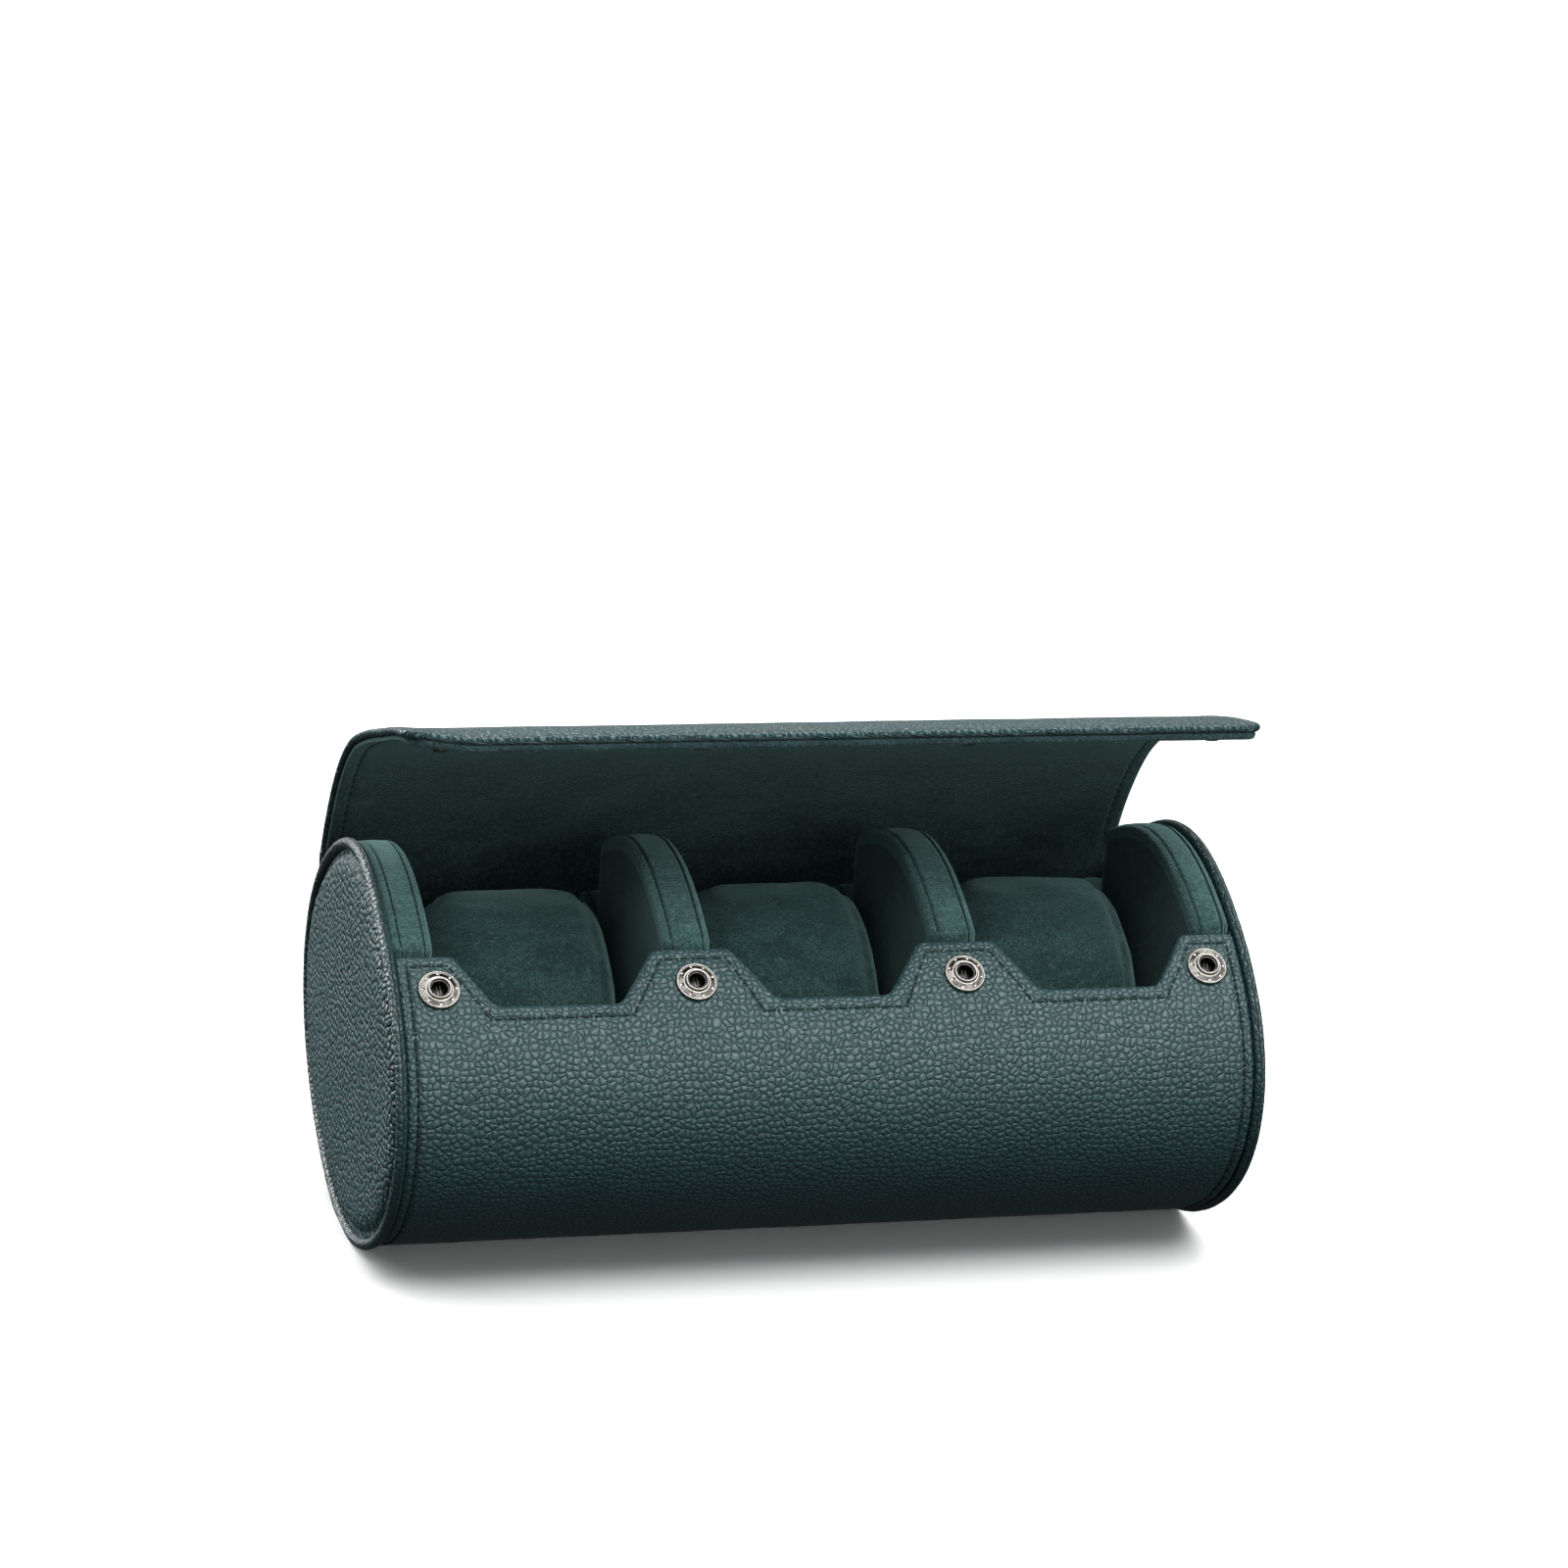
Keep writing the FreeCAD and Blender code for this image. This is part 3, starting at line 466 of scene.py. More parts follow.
# ------------------------------------------------------------------ body leather
def build_body_leather():
    x = np.concatenate([np.linspace(-110.0, -108.2, 12), np.linspace(-108.0, 108.0, 541), np.linspace(108.2, 110.0, 12)])
    ed = edge_s(x)
    near = np.array([0.0, 0.12, 0.3, 0.55, 0.85, 1.2, 1.6, 2.0, 2.4, 2.8, 3.2, 3.6, 4.0, 4.6])
    s_end = float(arc(382.0))
    far = np.linspace(0, 1, 150)[1:]
    cols = []
    for e in ed:
        a = e + near
        cols.append(np.concatenate([a, a[-1] + (s_end - a[-1]) * far]))
    S = np.array(cols)
    X = np.repeat(x[:, None], S.shape[1], 1)
    D = dist_to(EDGE, X.ravel(), S.ravel()).reshape(X.shape)
    near_mask = S < 190
    SD = np.full(X.shape, 99.0)
    idx = near_mask.ravel()
    SD.ravel()[idx] = dist_to(ST_LINE, X.ravel()[idx], S.ravel()[idx])
    low = ~near_mask
    SD[low] = np.where(S[low] < S_LOW, np.abs(np.abs(X[low]) - 107.3), 99.0)
    R = 1.25
    off = np.where(D < R, -(R - np.sqrt(np.maximum(R * R - (R - np.minimum(D, R)) ** 2, 0))), 0.0)
    # ends roll under towards the piping
    ex = 110.0 - np.abs(X)
    off += np.where(ex < 1.6, -1.6 * (1.0 - np.sqrt(np.maximum(1.0 - (1.0 - np.minimum(ex, 1.6) / 1.6) ** 2, 0))), 0.0)
    # stitches pull the leather down; between stitch line and edge it stands up a little
    off -= 0.46 * np.exp(-(SD / 0.85) ** 2)
    puff = smooth(0.8, 2.0, D) * (1 - smooth(3.0, 5.5, D))
    off += 0.16 * puff
    P = np.zeros(X.shape + (3,))
    deg = deg_of(S)
    w = wobble(np.stack([X.ravel(), S.ravel(), 0 * X.ravel()], 1), 17.0, 3.1).reshape(X.shape)
    w2 = wobble(np.stack([X.ravel(), S.ravel(), 0 * X.ravel()], 1), 6.0, 9.7).reshape(X.shape)
    side = np.exp(-((np.abs(X) - 108.5) / 3.0) ** 2)
    off += 0.10 * w + 0.16 * w2 * side
    # a well for each snap socket
    for sx in (-100.25, -35.05, 35.05, 100.25):
        off -= 1.6 * (1 - smooth(2.6, 3.8, np.hypot(X - sx, S - float(arc(147.2)))))
    y, z = sec(deg, off)
    P[..., 0], P[..., 1], P[..., 2] = X, y, np.maximum(z, 0.0)
    # folded edge: three more rows that go in, then down behind the edge
    rows = []
    for o_in, back in ((-2.0, 0.0), (-2.9, 0.05), (-3.35, 0.5), (-3.45, 1.6), (-3.45, 6.0)):
        yy, zz = sec(deg_of(ed + back), o_in)
        rows.append(np.stack([x, yy, zz], 1))
    rows = np.array(rows[::-1]).transpose(1, 0, 2)
    P = np.concatenate([rows, P], 1)
    SS = np.concatenate([np.stack([ed - k for k in (9.5, 5.1, 3.6, 3.0, 2.1)], 1), S], 1)
    XX = np.repeat(x[:, None], SS.shape[1], 1)
    # each end gets a short return towards the inside
    nu, nv = SS.shape
    end0, end1 = P[0].copy(), P[-1].copy()
    cy, cz = 0.0, ZC
    for e in (end0, end1):
        d = np.stack([e[:, 1] - cy, e[:, 2] - cz], 1)
        L = np.linalg.norm(d, axis=1)[:, None]
        e[:, 1:] = np.stack([np.full(len(e), cy), np.full(len(e), cz)], 1) + d / L * (L - 1.6)
    P = np.concatenate([end0[None], P, end1[None]], 0)
    XX = np.concatenate([XX[:1] - 1.6, XX, XX[-1:] + 1.6], 0)
    SS = np.concatenate([SS[:1], SS, SS[-1:]], 0)
    nu += 2
    uv = np.stack([XX.ravel() / 100 + 1.5, SS.ravel() / 100], 1)
    P[..., 2] = np.maximum(P[..., 2], 0.0)
    o = make("outer_shell", P.reshape(-1, 3), grid_faces(nu, nv, flip=True), M_LEATHER, uv)
    tidy(o, 0.6)
    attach(o, "shell")
    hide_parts("outer_leather", "shell_board")
    return o


build_body_leather()


# ------------------------------------------------------------------ stitching
def capsule(center, along, normal, length, width, height, seg=8, rings=5):
    """A small stitch: rounded bar lying on a surface."""
    side = np.cross(normal, along)
    v, f = [], []
    ts = np.linspace(-1, 1, 2 * rings + 1)
    for t in ts:
        k = math.sqrt(max(0.0, 1 - abs(t) ** 3.2))
        lift = 0.55 * (1 - t * t)
        for j in range(seg):
            a = 2 * math.pi * j / seg
            v.append(center + along * t * length / 2 + side * math.cos(a) * width / 2 * max(k, 0.12)
                     + normal * ((math.sin(a) * height / 2 * max(k, 0.12)) + height * (lift - 0.35)))
    n = len(ts)
    for i in range(n - 1):
        for j in range(seg):
            f.append((i * seg + j, i * seg + (j + 1) % seg, (i + 1) * seg + (j + 1) % seg, (i + 1) * seg + j))
    f.append(tuple(range(seg))[::-1])
    f.append(tuple((n - 1) * seg + j for j in range(seg)))
    return v, f


def add(store, vf):
    v, f = vf
    base = len(store[0])
    store[0].extend(v)
    store[1].extend([tuple(base + i for i in q) for q in f])


def stitch_run(points, pitch, length, place, width=0.62, height=0.5, holes=None):
    """Stitches along a polyline in surface coordinates, evenly spaced on each straight run."""
    out = ([], [])
    for a, b in zip(points, points[1:]):
        a, b = np.array(a, float), np.array(b, float)
        L = np.linalg.norm(b - a)
        n = max(1, int(round(L / pitch)))
        for k in range(n):
            c = a + (b - a) * (k + 0.5) / n
            d = (b - a) / L
            p, nrm, tan = place(c[0], c[1])
            along = np.array([1.0, 0, 0]) * d[0] + tan * d[1]
            along /= np.linalg.norm(along)
            add(out, capsule(p, along, nrm, length * (L / n) / pitch, width, height))
            if holes is not None:
                h = a + (b - a) * k / n
                p, nrm, tan = place(h[0], h[1])
                add(holes, capsule(p - nrm * 0.02, along, nrm, 0.98, 0.95, 0.26, 8, 2))
    return out


# dark capsules sunk at each stitch hole: painted shade in the holes
holes = ([], [])
st = stitch_run([(-107.3, S_LOW)] + ST_CORNERS + [(107.3, S_LOW)], 3.75, 2.75, lambda x, s: surface(x, s, -0.30), width=0.66, height=0.56, holes=holes)
# front stitches in the dark thread, painted shade
o = make("front_stitching", st[0], st[1], M_THREAD)
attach(o, "shell")
o = make("stitch_holes", holes[0], holes[1], M_HOLE_SHADE)
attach(o, "shell")


# ------------------------------------------------------------------ body lining
def build_lining():
    x = np.linspace(-99.7, 99.7, 260)
    ed = edge_s(x)
    s_end = float(arc(379.6))
    t = np.linspace(0, 1, 130)
    S = np.array([e + 0.9 + (s_end - e - 0.9) * t for e in ed])
    X = np.repeat(x[:, None], S.shape[1], 1)
    w = wobble(np.stack([X.ravel(), S.ravel(), 0 * X.ravel()], 1), 14.0, 5.5).reshape(X.shape)
    y, z = sec(deg_of(S), -3.75 + 0.14 * w)
    P = np.stack([X, y, z], -1)
    o = make("inner_lining", P.reshape(-1, 3), grid_faces(len(x), len(t), flip=False), M_SUEDE)
    tidy(o, 0.5)
    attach(o, "shell")
    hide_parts("shell_lining")


build_lining()


# ------------------------------------------------------------------ walls: end walls and dividers
WALL_Y, WALL_Z = 32.6, 68.0


def wall_outline(n=440):
    """Closed outline of a wall, evenly spaced: the section, raised over the top, upright at the rear above a shoulder."""
    deg = np.linspace(0, 360, 7200, endpoint=False)
    a = np.radians(deg)
    ca, sa = np.cos(a), np.sin(a)
    up = smooth(30.0, 45.0, deg) * (1 - smooth(134.6, 137.2, deg))
    r = rad(deg) - 3.95 + up * 3.97
    upright = np.where(ca > 1e-3, WALL_Y / np.maximum(ca, 1e-3), 1e3)
    rise = sa - 0.2 * ca
    shoulder = np.where(rise > 1e-3, (WALL_Z - ZC - 0.2 * WALL_Y) / np.maximum(rise, 1e-3), 1e3)
    r = np.minimum(r, np.maximum(upright, shoulder))
    pts = np.stack([r * ca, r * sa + ZC], 1)
    L = np.concatenate([[0], np.cumsum(np.hypot(*np.diff(np.vstack([pts, pts[:1]]), axis=0).T))])
    t = np.linspace(0, L[-1], n, endpoint=False)
    y = np.interp(t, L, np.append(pts[:, 0], pts[0, 0]))
    z = np.interp(t, L, np.append(pts[:, 1], pts[0, 1]))
    step = L[-1] / n
    k = np.arange(-8, 9)
    g = np.exp(-0.5 * (k * step / 1.5) ** 2)
    g /= g.sum()
    q = np.stack([sum(w * np.roll(c, -i) for w, i in zip(g, k)) for c in (y, z)], 1)
    d = np.roll(q, -1, 0) - np.roll(q, 1, 0)
    d /= np.linalg.norm(d, axis=1, keepdims=True)
    return q, np.stack([d[:, 1], -d[:, 0]], 1), d


def build_wall(name, x0, x1, node, seed):
    """Padded wall in suede: flat sides, rounded rims, and a band across the top with a seam near each edge; the flat
    sides take a darker copy of the suede as painted shade.
    """
    q, qn, qt = wall_outline()
    n_a = len(q)
    cen = np.array([0.0, ZC])
    R = 1.7
    mid = (x0 + x1) / 2
    half = (x1 - x0) / 2
    seam = 2.05
    prof = []                                      # (x, inset from the outline, share of the radius on the side face)
    for f in (0.0, 0.2, 0.4, 0.55, 0.68, 0.78, 0.86, 0.92, 0.96):
        prof.append((-half, None, f))
    for k in range(0, 9):
        a = math.pi / 2 * k / 8
        prof.append((-half + R - R * math.cos(a), R - R * math.sin(a), None))
    for u in (seam - 0.40, seam - 0.22, seam, seam + 0.22, seam + 0.40):
        depth = {0: 0.80, 1: 0.48}.get(int(round(abs(u - seam) / 0.22)), -0.06)
        prof.append((-half + u, depth, None))
    for u in np.linspace(seam + 0.9, 2 * half - seam - 0.9, 9):
        bulge = -0.20 * math.sin(math.pi * (u - seam) / (2 * half - 2 * seam))
        prof.append((-half + u, bulge, None))
    mirror = [(-x, i, f) for x, i, f in prof[::-1]]
    prof = [p for p in prof if p[0] <= 1e-6] + [p for p in mirror if p[0] > 1e-6]
    rows, on_side = [], []
    for (px, inset, f) in prof:
        yz = cen + (q - qn * R - cen) * f if f is not None else q - qn * inset
        rows.append(np.concatenate([np.full((n_a, 1), mid + px), yz], 1))
        on_side.append(f is not None)
    P = np.array(rows)
    flat = P.reshape(-1, 3)
    w = wobble(flat, 9.0, seed).reshape(P.shape[:2])
    w2 = wobble(flat, 3.2, seed + 4).reshape(P.shape[:2])
    c = np.array([0.0, 0.0, ZC])
    d = P - c
    d[..., 0] = 0
    L = np.linalg.norm(d, axis=2, keepdims=True)
    grow = (0.13 * w + 0.06 * w2)[..., None]
    P = P + np.where(L > 20, d / np.maximum(L, 1e-6) * grow, 0)
    nr = P.shape[0]
    # faces on the flat sides get the darker suede, painted shade
    painted_shade_faces = [1 if on_side[i] and on_side[i + 1] else 0 for i in range(nr - 1) for _ in range(n_a)]
    o = make(name, P.reshape(-1, 3), grid_faces(nr, n_a, wrap_v=True, flip=True), [M_RIM, M_SIDE_SHADED], face_mat=painted_shade_faces)
    tidy(o)
    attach(o, "shell")
    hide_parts(node)
    # stitches in the two seams, up the rear edge and over the top
    ang = np.degrees(np.arctan2(q[:, 1] - ZC, q[:, 0]))
    run = np.where((ang > 33.0) & (ang < 133.5))[0]
    s = np.concatenate([[0], np.cumsum(np.hypot(*np.diff(q[run], axis=0).T))])
    n = int(s[-1] / 2.3)
    st = ([], [])
    for side in (-1, 1):
        xs = mid + side * (half - seam)
        for k in range(n):
            i = run[int(np.argmin(np.abs(s - s[-1] * (k + 0.5) / n)))]
            nrm = np.array([0.0, qn[i, 0], qn[i, 1]])
            tan = np.array([0.0, qt[i, 0], qt[i, 1]])
            p = np.array([xs, q[i, 0], q[i, 1]]) - nrm * 0.42
            add(st, capsule(p, tan, nrm, 2.5, 0.46, 0.28, 6, 3))
    s_o = make(name + "_seams", st[0], st[1], M_SEAM)
    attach(s_o, "shell")


build_wall("end_wall_left", -109.85, -99.85, "end_wall_suede_left", 1.0)
build_wall("end_wall_right", 99.85, 109.85, "end_wall_suede_right", 2.0)
build_wall("divider_left", -41.1, -29.0, "divider_suede_left", 3.0)
build_wall("divider_right", 29.0, 41.1, "divider_suede_right", 4.0)


# ------------------------------------------------------------------ end caps and piping
def build_cap(sign, side):
    n_a, a = 360, None
    deg = np.linspace(0, 360, n_a, endpoint=False)
    ang = np.radians(deg)
    # (offset from the section, x) from the rim to the middle; a padded disc with a groove round it
    prof = [(-1.2, 110.2), (-1.2, 111.0), (-1.8, 111.25), (-2.4, 111.3), (-2.9, 111.28), (-3.3, 111.28), (-3.6, 111.4), (-3.9, 111.65),
            (-4.3, 111.98), (-4.8, 112.36), (-5.4, 112.7), (-6.2, 113.0), (-7.2, 113.22), (-8.5, 113.38), (-10.0, 113.48)]
    rows, uvs = [], []
    for off, x in prof:
        r = rad(deg) + off
        rows.append(np.stack([np.full(n_a, x), r * np.cos(ang), r * np.sin(ang) + ZC], 1))
    r_in = rad(deg) - 10.0
    for f in np.linspace(1, 0, 26)[1:]:
        x = 113.48 + 0.75 * (1 - f * f)
        r = r_in * f
        rows.append(np.stack([np.full(n_a, x), r * np.cos(ang), r * np.sin(ang) + ZC], 1))
    rows.insert(0, np.stack([np.full(n_a, 110.2), np.zeros(n_a), np.full(n_a, ZC)], 1))
    P = np.array(rows)
    w = wobble(P.reshape(-1, 3) * np.array([0, 1, 1]), 12.0, 7.0 + sign).reshape(P.shape[:2])
    gather = wobble(P.reshape(-1, 3) * np.array([0, 1, 1]), 2.6, 4.0 + sign).reshape(P.shape[:2])
    gather *= np.array([math.exp(-((i - 10.5) / 2.6) ** 2) for i in range(P.shape[0])])[:, None]
    fall = np.linspace(0, 1, P.shape[0])
    P[..., 0] += 0.14 * w * np.clip((fall - 0.1) * 4, 0, 1)[:, None] + 0.30 * gather
    P[..., 0] *= sign
    P[..., 2] = np.maximum(P[..., 2], 0.05)
    uv = np.stack([P[..., 1].ravel() / 100 + 3 + sign, P[..., 2].ravel() / 100], 1)
    o = make("end_cap_" + side, P.reshape(-1, 3), grid_faces(P.shape[0], n_a, wrap_v=True, flip=(sign > 0)), M_CAP, uv)
    tidy(o)
    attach(o, "shell")
    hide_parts("end_leather_" + side, "end_foam_" + side, "end_board_" + side)
    # piping
    n_p, n_c = 720, 22
    degp = np.linspace(0, 360, n_p, endpoint=False)
    ap = np.radians(degp)
    k = np.linspace(0, 2 * math.pi, n_c, endpoint=False)
    lump = wobble(np.stack([np.cos(ap) * 60, np.sin(ap) * 50, 0 * ap], 1), 5.0, 2.0)
    rr = 1.42 + 0.05 * lump
    V_, U_ = [], []
    for j in range(n_c):
        off = -0.42 + rr * np.cos(k[j])
        x = 111.5 + rr * np.sin(k[j])
        r = rad(degp) + off
        V_.append(np.stack([x * sign, r * np.cos(ap), np.maximum(r * np.sin(ap) + ZC, 0.0)], 1))
        U_.append(np.stack([arc(degp) / 100, np.full(n_p, 2 + rr.mean() * k[j] / 100)], 1))
    V_ = np.array(V_).transpose(1, 0, 2)
    U_ = np.array(U_).transpose(1, 0, 2)
    o = make("piping_" + side, V_.reshape(-1, 3), grid_faces(n_p, n_c, True, True, flip=(sign < 0)), M_BEAD, U_.reshape(-1, 2))
    tidy(o)
    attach(o, "shell")
    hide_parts("bead_" + side)


build_cap(-1, "left")
build_cap(1, "right")

# ------------------------------------------------------------------ lid
HP = np.array([55.212379685, 25.161731053])


def rotate2(p, c, deg):
    t = math.radians(deg)
    p = np.asarray(p, float)
    y, z = p[..., 0] - c[0], p[..., 1] - c[1]
    return np.stack([c[0] + y * math.cos(t) - z * math.sin(t), c[1] + y * math.sin(t) + z * math.cos(t)], -1)


def lid_rest():
    pts = []
    for i in range(120):
        a = 25.3 + 68.7 * i / 119.0
        soft = min(1.0, max(0.0, (36.0 - a) / 9.0))
        y, z = sec(a, 3.7 - 2.1 * soft ** 2)
        pts.append((float(y), float(z) - ZC))
    ang = math.atan2(pts[-1][1] - pts[-2][1], pts[-1][0] - pts[-2][0])
    for i in range(60):
        ang += math.radians(5.0) / 60
        pts.append((pts[-1][0] + 26.0 / 60 * math.cos(ang), pts[-1][1] + 26.0 / 60 * math.sin(ang)))
    rear = rotate2(pts, HP, -26.0)
    k = rear[-1]
    ang -= math.radians(26.0)
    fl = [tuple(k)]
    for i in range(80):
        ang += math.radians(9.0) / 80
        fl.append((fl[-1][0] + 37.0 / 80 * math.cos(ang), fl[-1][1] + 37.0 / 80 * math.sin(ang)))
    full = np.array(list(map(tuple, rear)) + fl[1:])
    return full, k


LIDP, KP = lid_rest()
LIDP[:, 1] += ZC
KP = np.array([KP[0], KP[1] + ZC])
_seg = np.hypot(*np.diff(LIDP, axis=0).T)
LIDS = np.concatenate([[0.0], np.cumsum(_seg)])
S_TIP = LIDS[-1]


def lid_at(s, depth=0.0):
    """Point(s) on the lid's outer line at arc length s, depth mm towards the inside."""
    y = np.interp(s, LIDS, LIDP[:, 0])
    z = np.interp(s, LIDS, LIDP[:, 1])
    y1, z1 = np.interp(np.minimum(s + 1.5, S_TIP), LIDS, LIDP[:, 0]), np.interp(np.minimum(s + 1.5, S_TIP), LIDS, LIDP[:, 1])
    y0, z0 = np.interp(np.maximum(s - 1.5, 0), LIDS, LIDP[:, 0]), np.interp(np.maximum(s - 1.5, 0), LIDS, LIDP[:, 1])
    ty, tz = y1 - y0, z1 - z0
    L = np.hypot(ty, tz)
    return y - tz / L * depth, z + ty / L * depth


def sheet_outline(half, s0, s1, r_front, r_rear):
    """Half width of a sheet at each s, with rounded corners."""
    def width(s):
        w = np.full(np.shape(s), float(half))
        d = np.clip(s1 - s, 0, None)
        m = d < r_front
        w = np.where(m, half - r_front + np.sqrt(np.maximum(r_front ** 2 - (r_front - d) ** 2, 0)), w)
        if r_rear > 0:
            d = np.clip(s - s0, 0, None)
            w = np.where(d < r_rear, half - r_rear + np.sqrt(np.maximum(r_rear ** 2 - (r_rear - d) ** 2, 0)), w)
        return w
    return width


def closed_sheet(name, s_vals, width, d_out, d_in, roll, mat, nx=240, puff=None, uv_off=0.0, seed=0.0, wave=0.0, open_start=False):
    """A thick sheet along the lid's line from depth d_out to d_in, with rolled edges."""
    s_vals = np.asarray(s_vals, float)
    u = np.linspace(-1, 1, nx)
    u = np.sign(u) * (1 - (1 - np.abs(u)) ** 1.0)
    edge_k = np.linspace(0, math.pi, 9)[1:-1]
    th = d_in - d_out
    P, UV = [], []
    for s in s_vals:
        w = float(width(s))
        yo, zo = lid_at(s, 0.0)
        row, ruv = [], []
        xs = u * (w - roll)
        for x in xs:                                           # outer face, left to right
            row.append((x, d_out))
            ruv.append(x)
        for a in edge_k:                                       # right edge
            row.append((w - roll + roll * math.sin(a), d_out + th / 2 * (1 - math.cos(a))))
            ruv.append(w + a * 0.4)
        for x in xs[::-1]:                                     # inner face, right to left
            row.append((x, d_in))
            ruv.append(2 * w - x + 8)
        for a in edge_k:                                       # left edge
            row.append((-(w - roll) - roll * math.sin(a), d_in - th / 2 * (1 - math.cos(a))))
            ruv.append(-w - a * 0.4)
        P.append(row)
        UV.append(ruv)
    P = np.array(P)
    UV = np.array(UV)
    S = np.repeat(s_vals[:, None], P.shape[1], 1)
    dep = P[..., 1].copy()
    # front (and rear) edges roll over too
    mid = (d_out + d_in) / 2
    for s_edge, used in ((s_vals[-1], True), (s_vals[0], not open_start)):
        if not used:
            continue
        d = np.abs(S - s_edge)
        f = np.sqrt(np.maximum(1 - (1 - np.clip(d / roll, 0, 1)) ** 2, 0))
        dep = mid + (dep - mid) * f
    if wave:
        n = wobble(np.stack([P[..., 0].ravel(), S.ravel(), 0 * S.ravel()], 1), 13.0, seed).reshape(S.shape)
        dep = dep + wave * n
    if puff is not None:
        dep = dep + puff(P[..., 0], S, P[..., 1])
    y, z = lid_at(S, dep)
    V_ = np.stack([P[..., 0], y, z], -1)
    uv = np.stack([UV.ravel() / 100 + 1.5, S.ravel() / 100 + uv_off], 1)
    n_r = V_.shape[1]
    faces = grid_faces(len(s_vals), n_r, wrap_v=True, flip=False)
    base = V_.reshape(-1, 3)
    extra = []
    faces.append(tuple(range(n_r)))
    faces.append(tuple((len(s_vals) - 1) * n_r + j for j in range(n_r))[::-1])
    return tidy(make(name, base, faces, mat, uv))


def stations(s0, s1, step=1.0, roll=1.2):
    a = [s0 + roll * k for k in (0.0, 0.03, 0.12, 0.3, 0.55, 0.85, 1.2)]
    b = [s1 - roll * k for k in (1.2, 0.85, 0.55, 0.3, 0.12, 0.03, 0.0)]
    n = max(2, int((b[0] - a[-1]) / step))
    return np.concatenate([a, np.linspace(a[-1], b[0], n + 1)[1:-1], b])


UV_LID = float(arc(382.0)) / 100
S_SPLIT = 7.5


def lid_blend(o):
    """Bakes the object's transform into its mesh."""
    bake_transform(o)


wl = sheet_outline(111.5, 0.0, S_TIP, 5.0, 3.0)


def corner_lift(x, s):
    """The front corner on the left curls up a little."""
    return -2.0 * smooth(92.0, 111.5, -np.asarray(x, float)) * smooth(S_TIP - 38.0, S_TIP, s)


def lid_puff(x, s, d):
    """A line pressed in along the front and the sides, where leather and lining are sewn."""
    w = wl(s)
    edge = np.minimum(w - np.abs(x), S_TIP - s)
    return 0.12 * np.exp(-((edge - 3.1) / 0.8) ** 2) * np.where(d < 0.7, 1, 0) + corner_lift(x, s)


st_l = stations(S_SPLIT, S_TIP, 0.9, 1.0)
st_l = st_l[st_l >= S_SPLIT + 0.9]
st_l = np.concatenate([[S_SPLIT], st_l])
o = closed_sheet("lid_cover", st_l, wl, 0.0, 1.95, 1.0, M_LID, nx=420, puff=lid_puff, uv_off=UV_LID, seed=4.0, wave=0.10, open_start=True)
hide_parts("lid_leather", "flap_leather", "lid_board", "flap_board")
lid_blend(o)

HALF_N, S_N0, S_N1 = 110.3, 4.2, S_TIP - 0.4
wn = sheet_outline(HALF_N, S_N0 - 0.4, S_N1, 4.6, 2.5)


def lining_puff(x, s, d):
    w = wn(s)
    edge = np.minimum(w - np.abs(x), S_N1 - s)
    inner = np.where(d > 2.6, 1.0, 0.0)
    band = 0.60 * smooth(S_N1 - 3.6, S_N1 - 1.6, s)          # a fuller fold along the front edge
    press = np.zeros(np.shape(x))                            # the lining is pressed in round each stud
    for sx in (-100.25, -35.05, 35.05, 100.25):
        press = np.maximum(press, 1 - smooth(4.8, 7.2, np.hypot(x - sx, s - (S_TIP - 8.95))))
    return inner * (-0.34 * np.exp(-((edge - 3.5) / 0.50) ** 2) + band - 0.42 * press) + corner_lift(x, s)


st_n = stations(S_N0, S_N1, 0.9, 0.7)
o = closed_sheet("lid_suede", st_n, wn, 1.98, 3.20, 0.61, M_SUEDE, nx=420, puff=lining_puff, uv_off=0.0, seed=8.0, wave=0.06, open_start=True)
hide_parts("lid_lining", "flap_lining")
lid_blend(o)


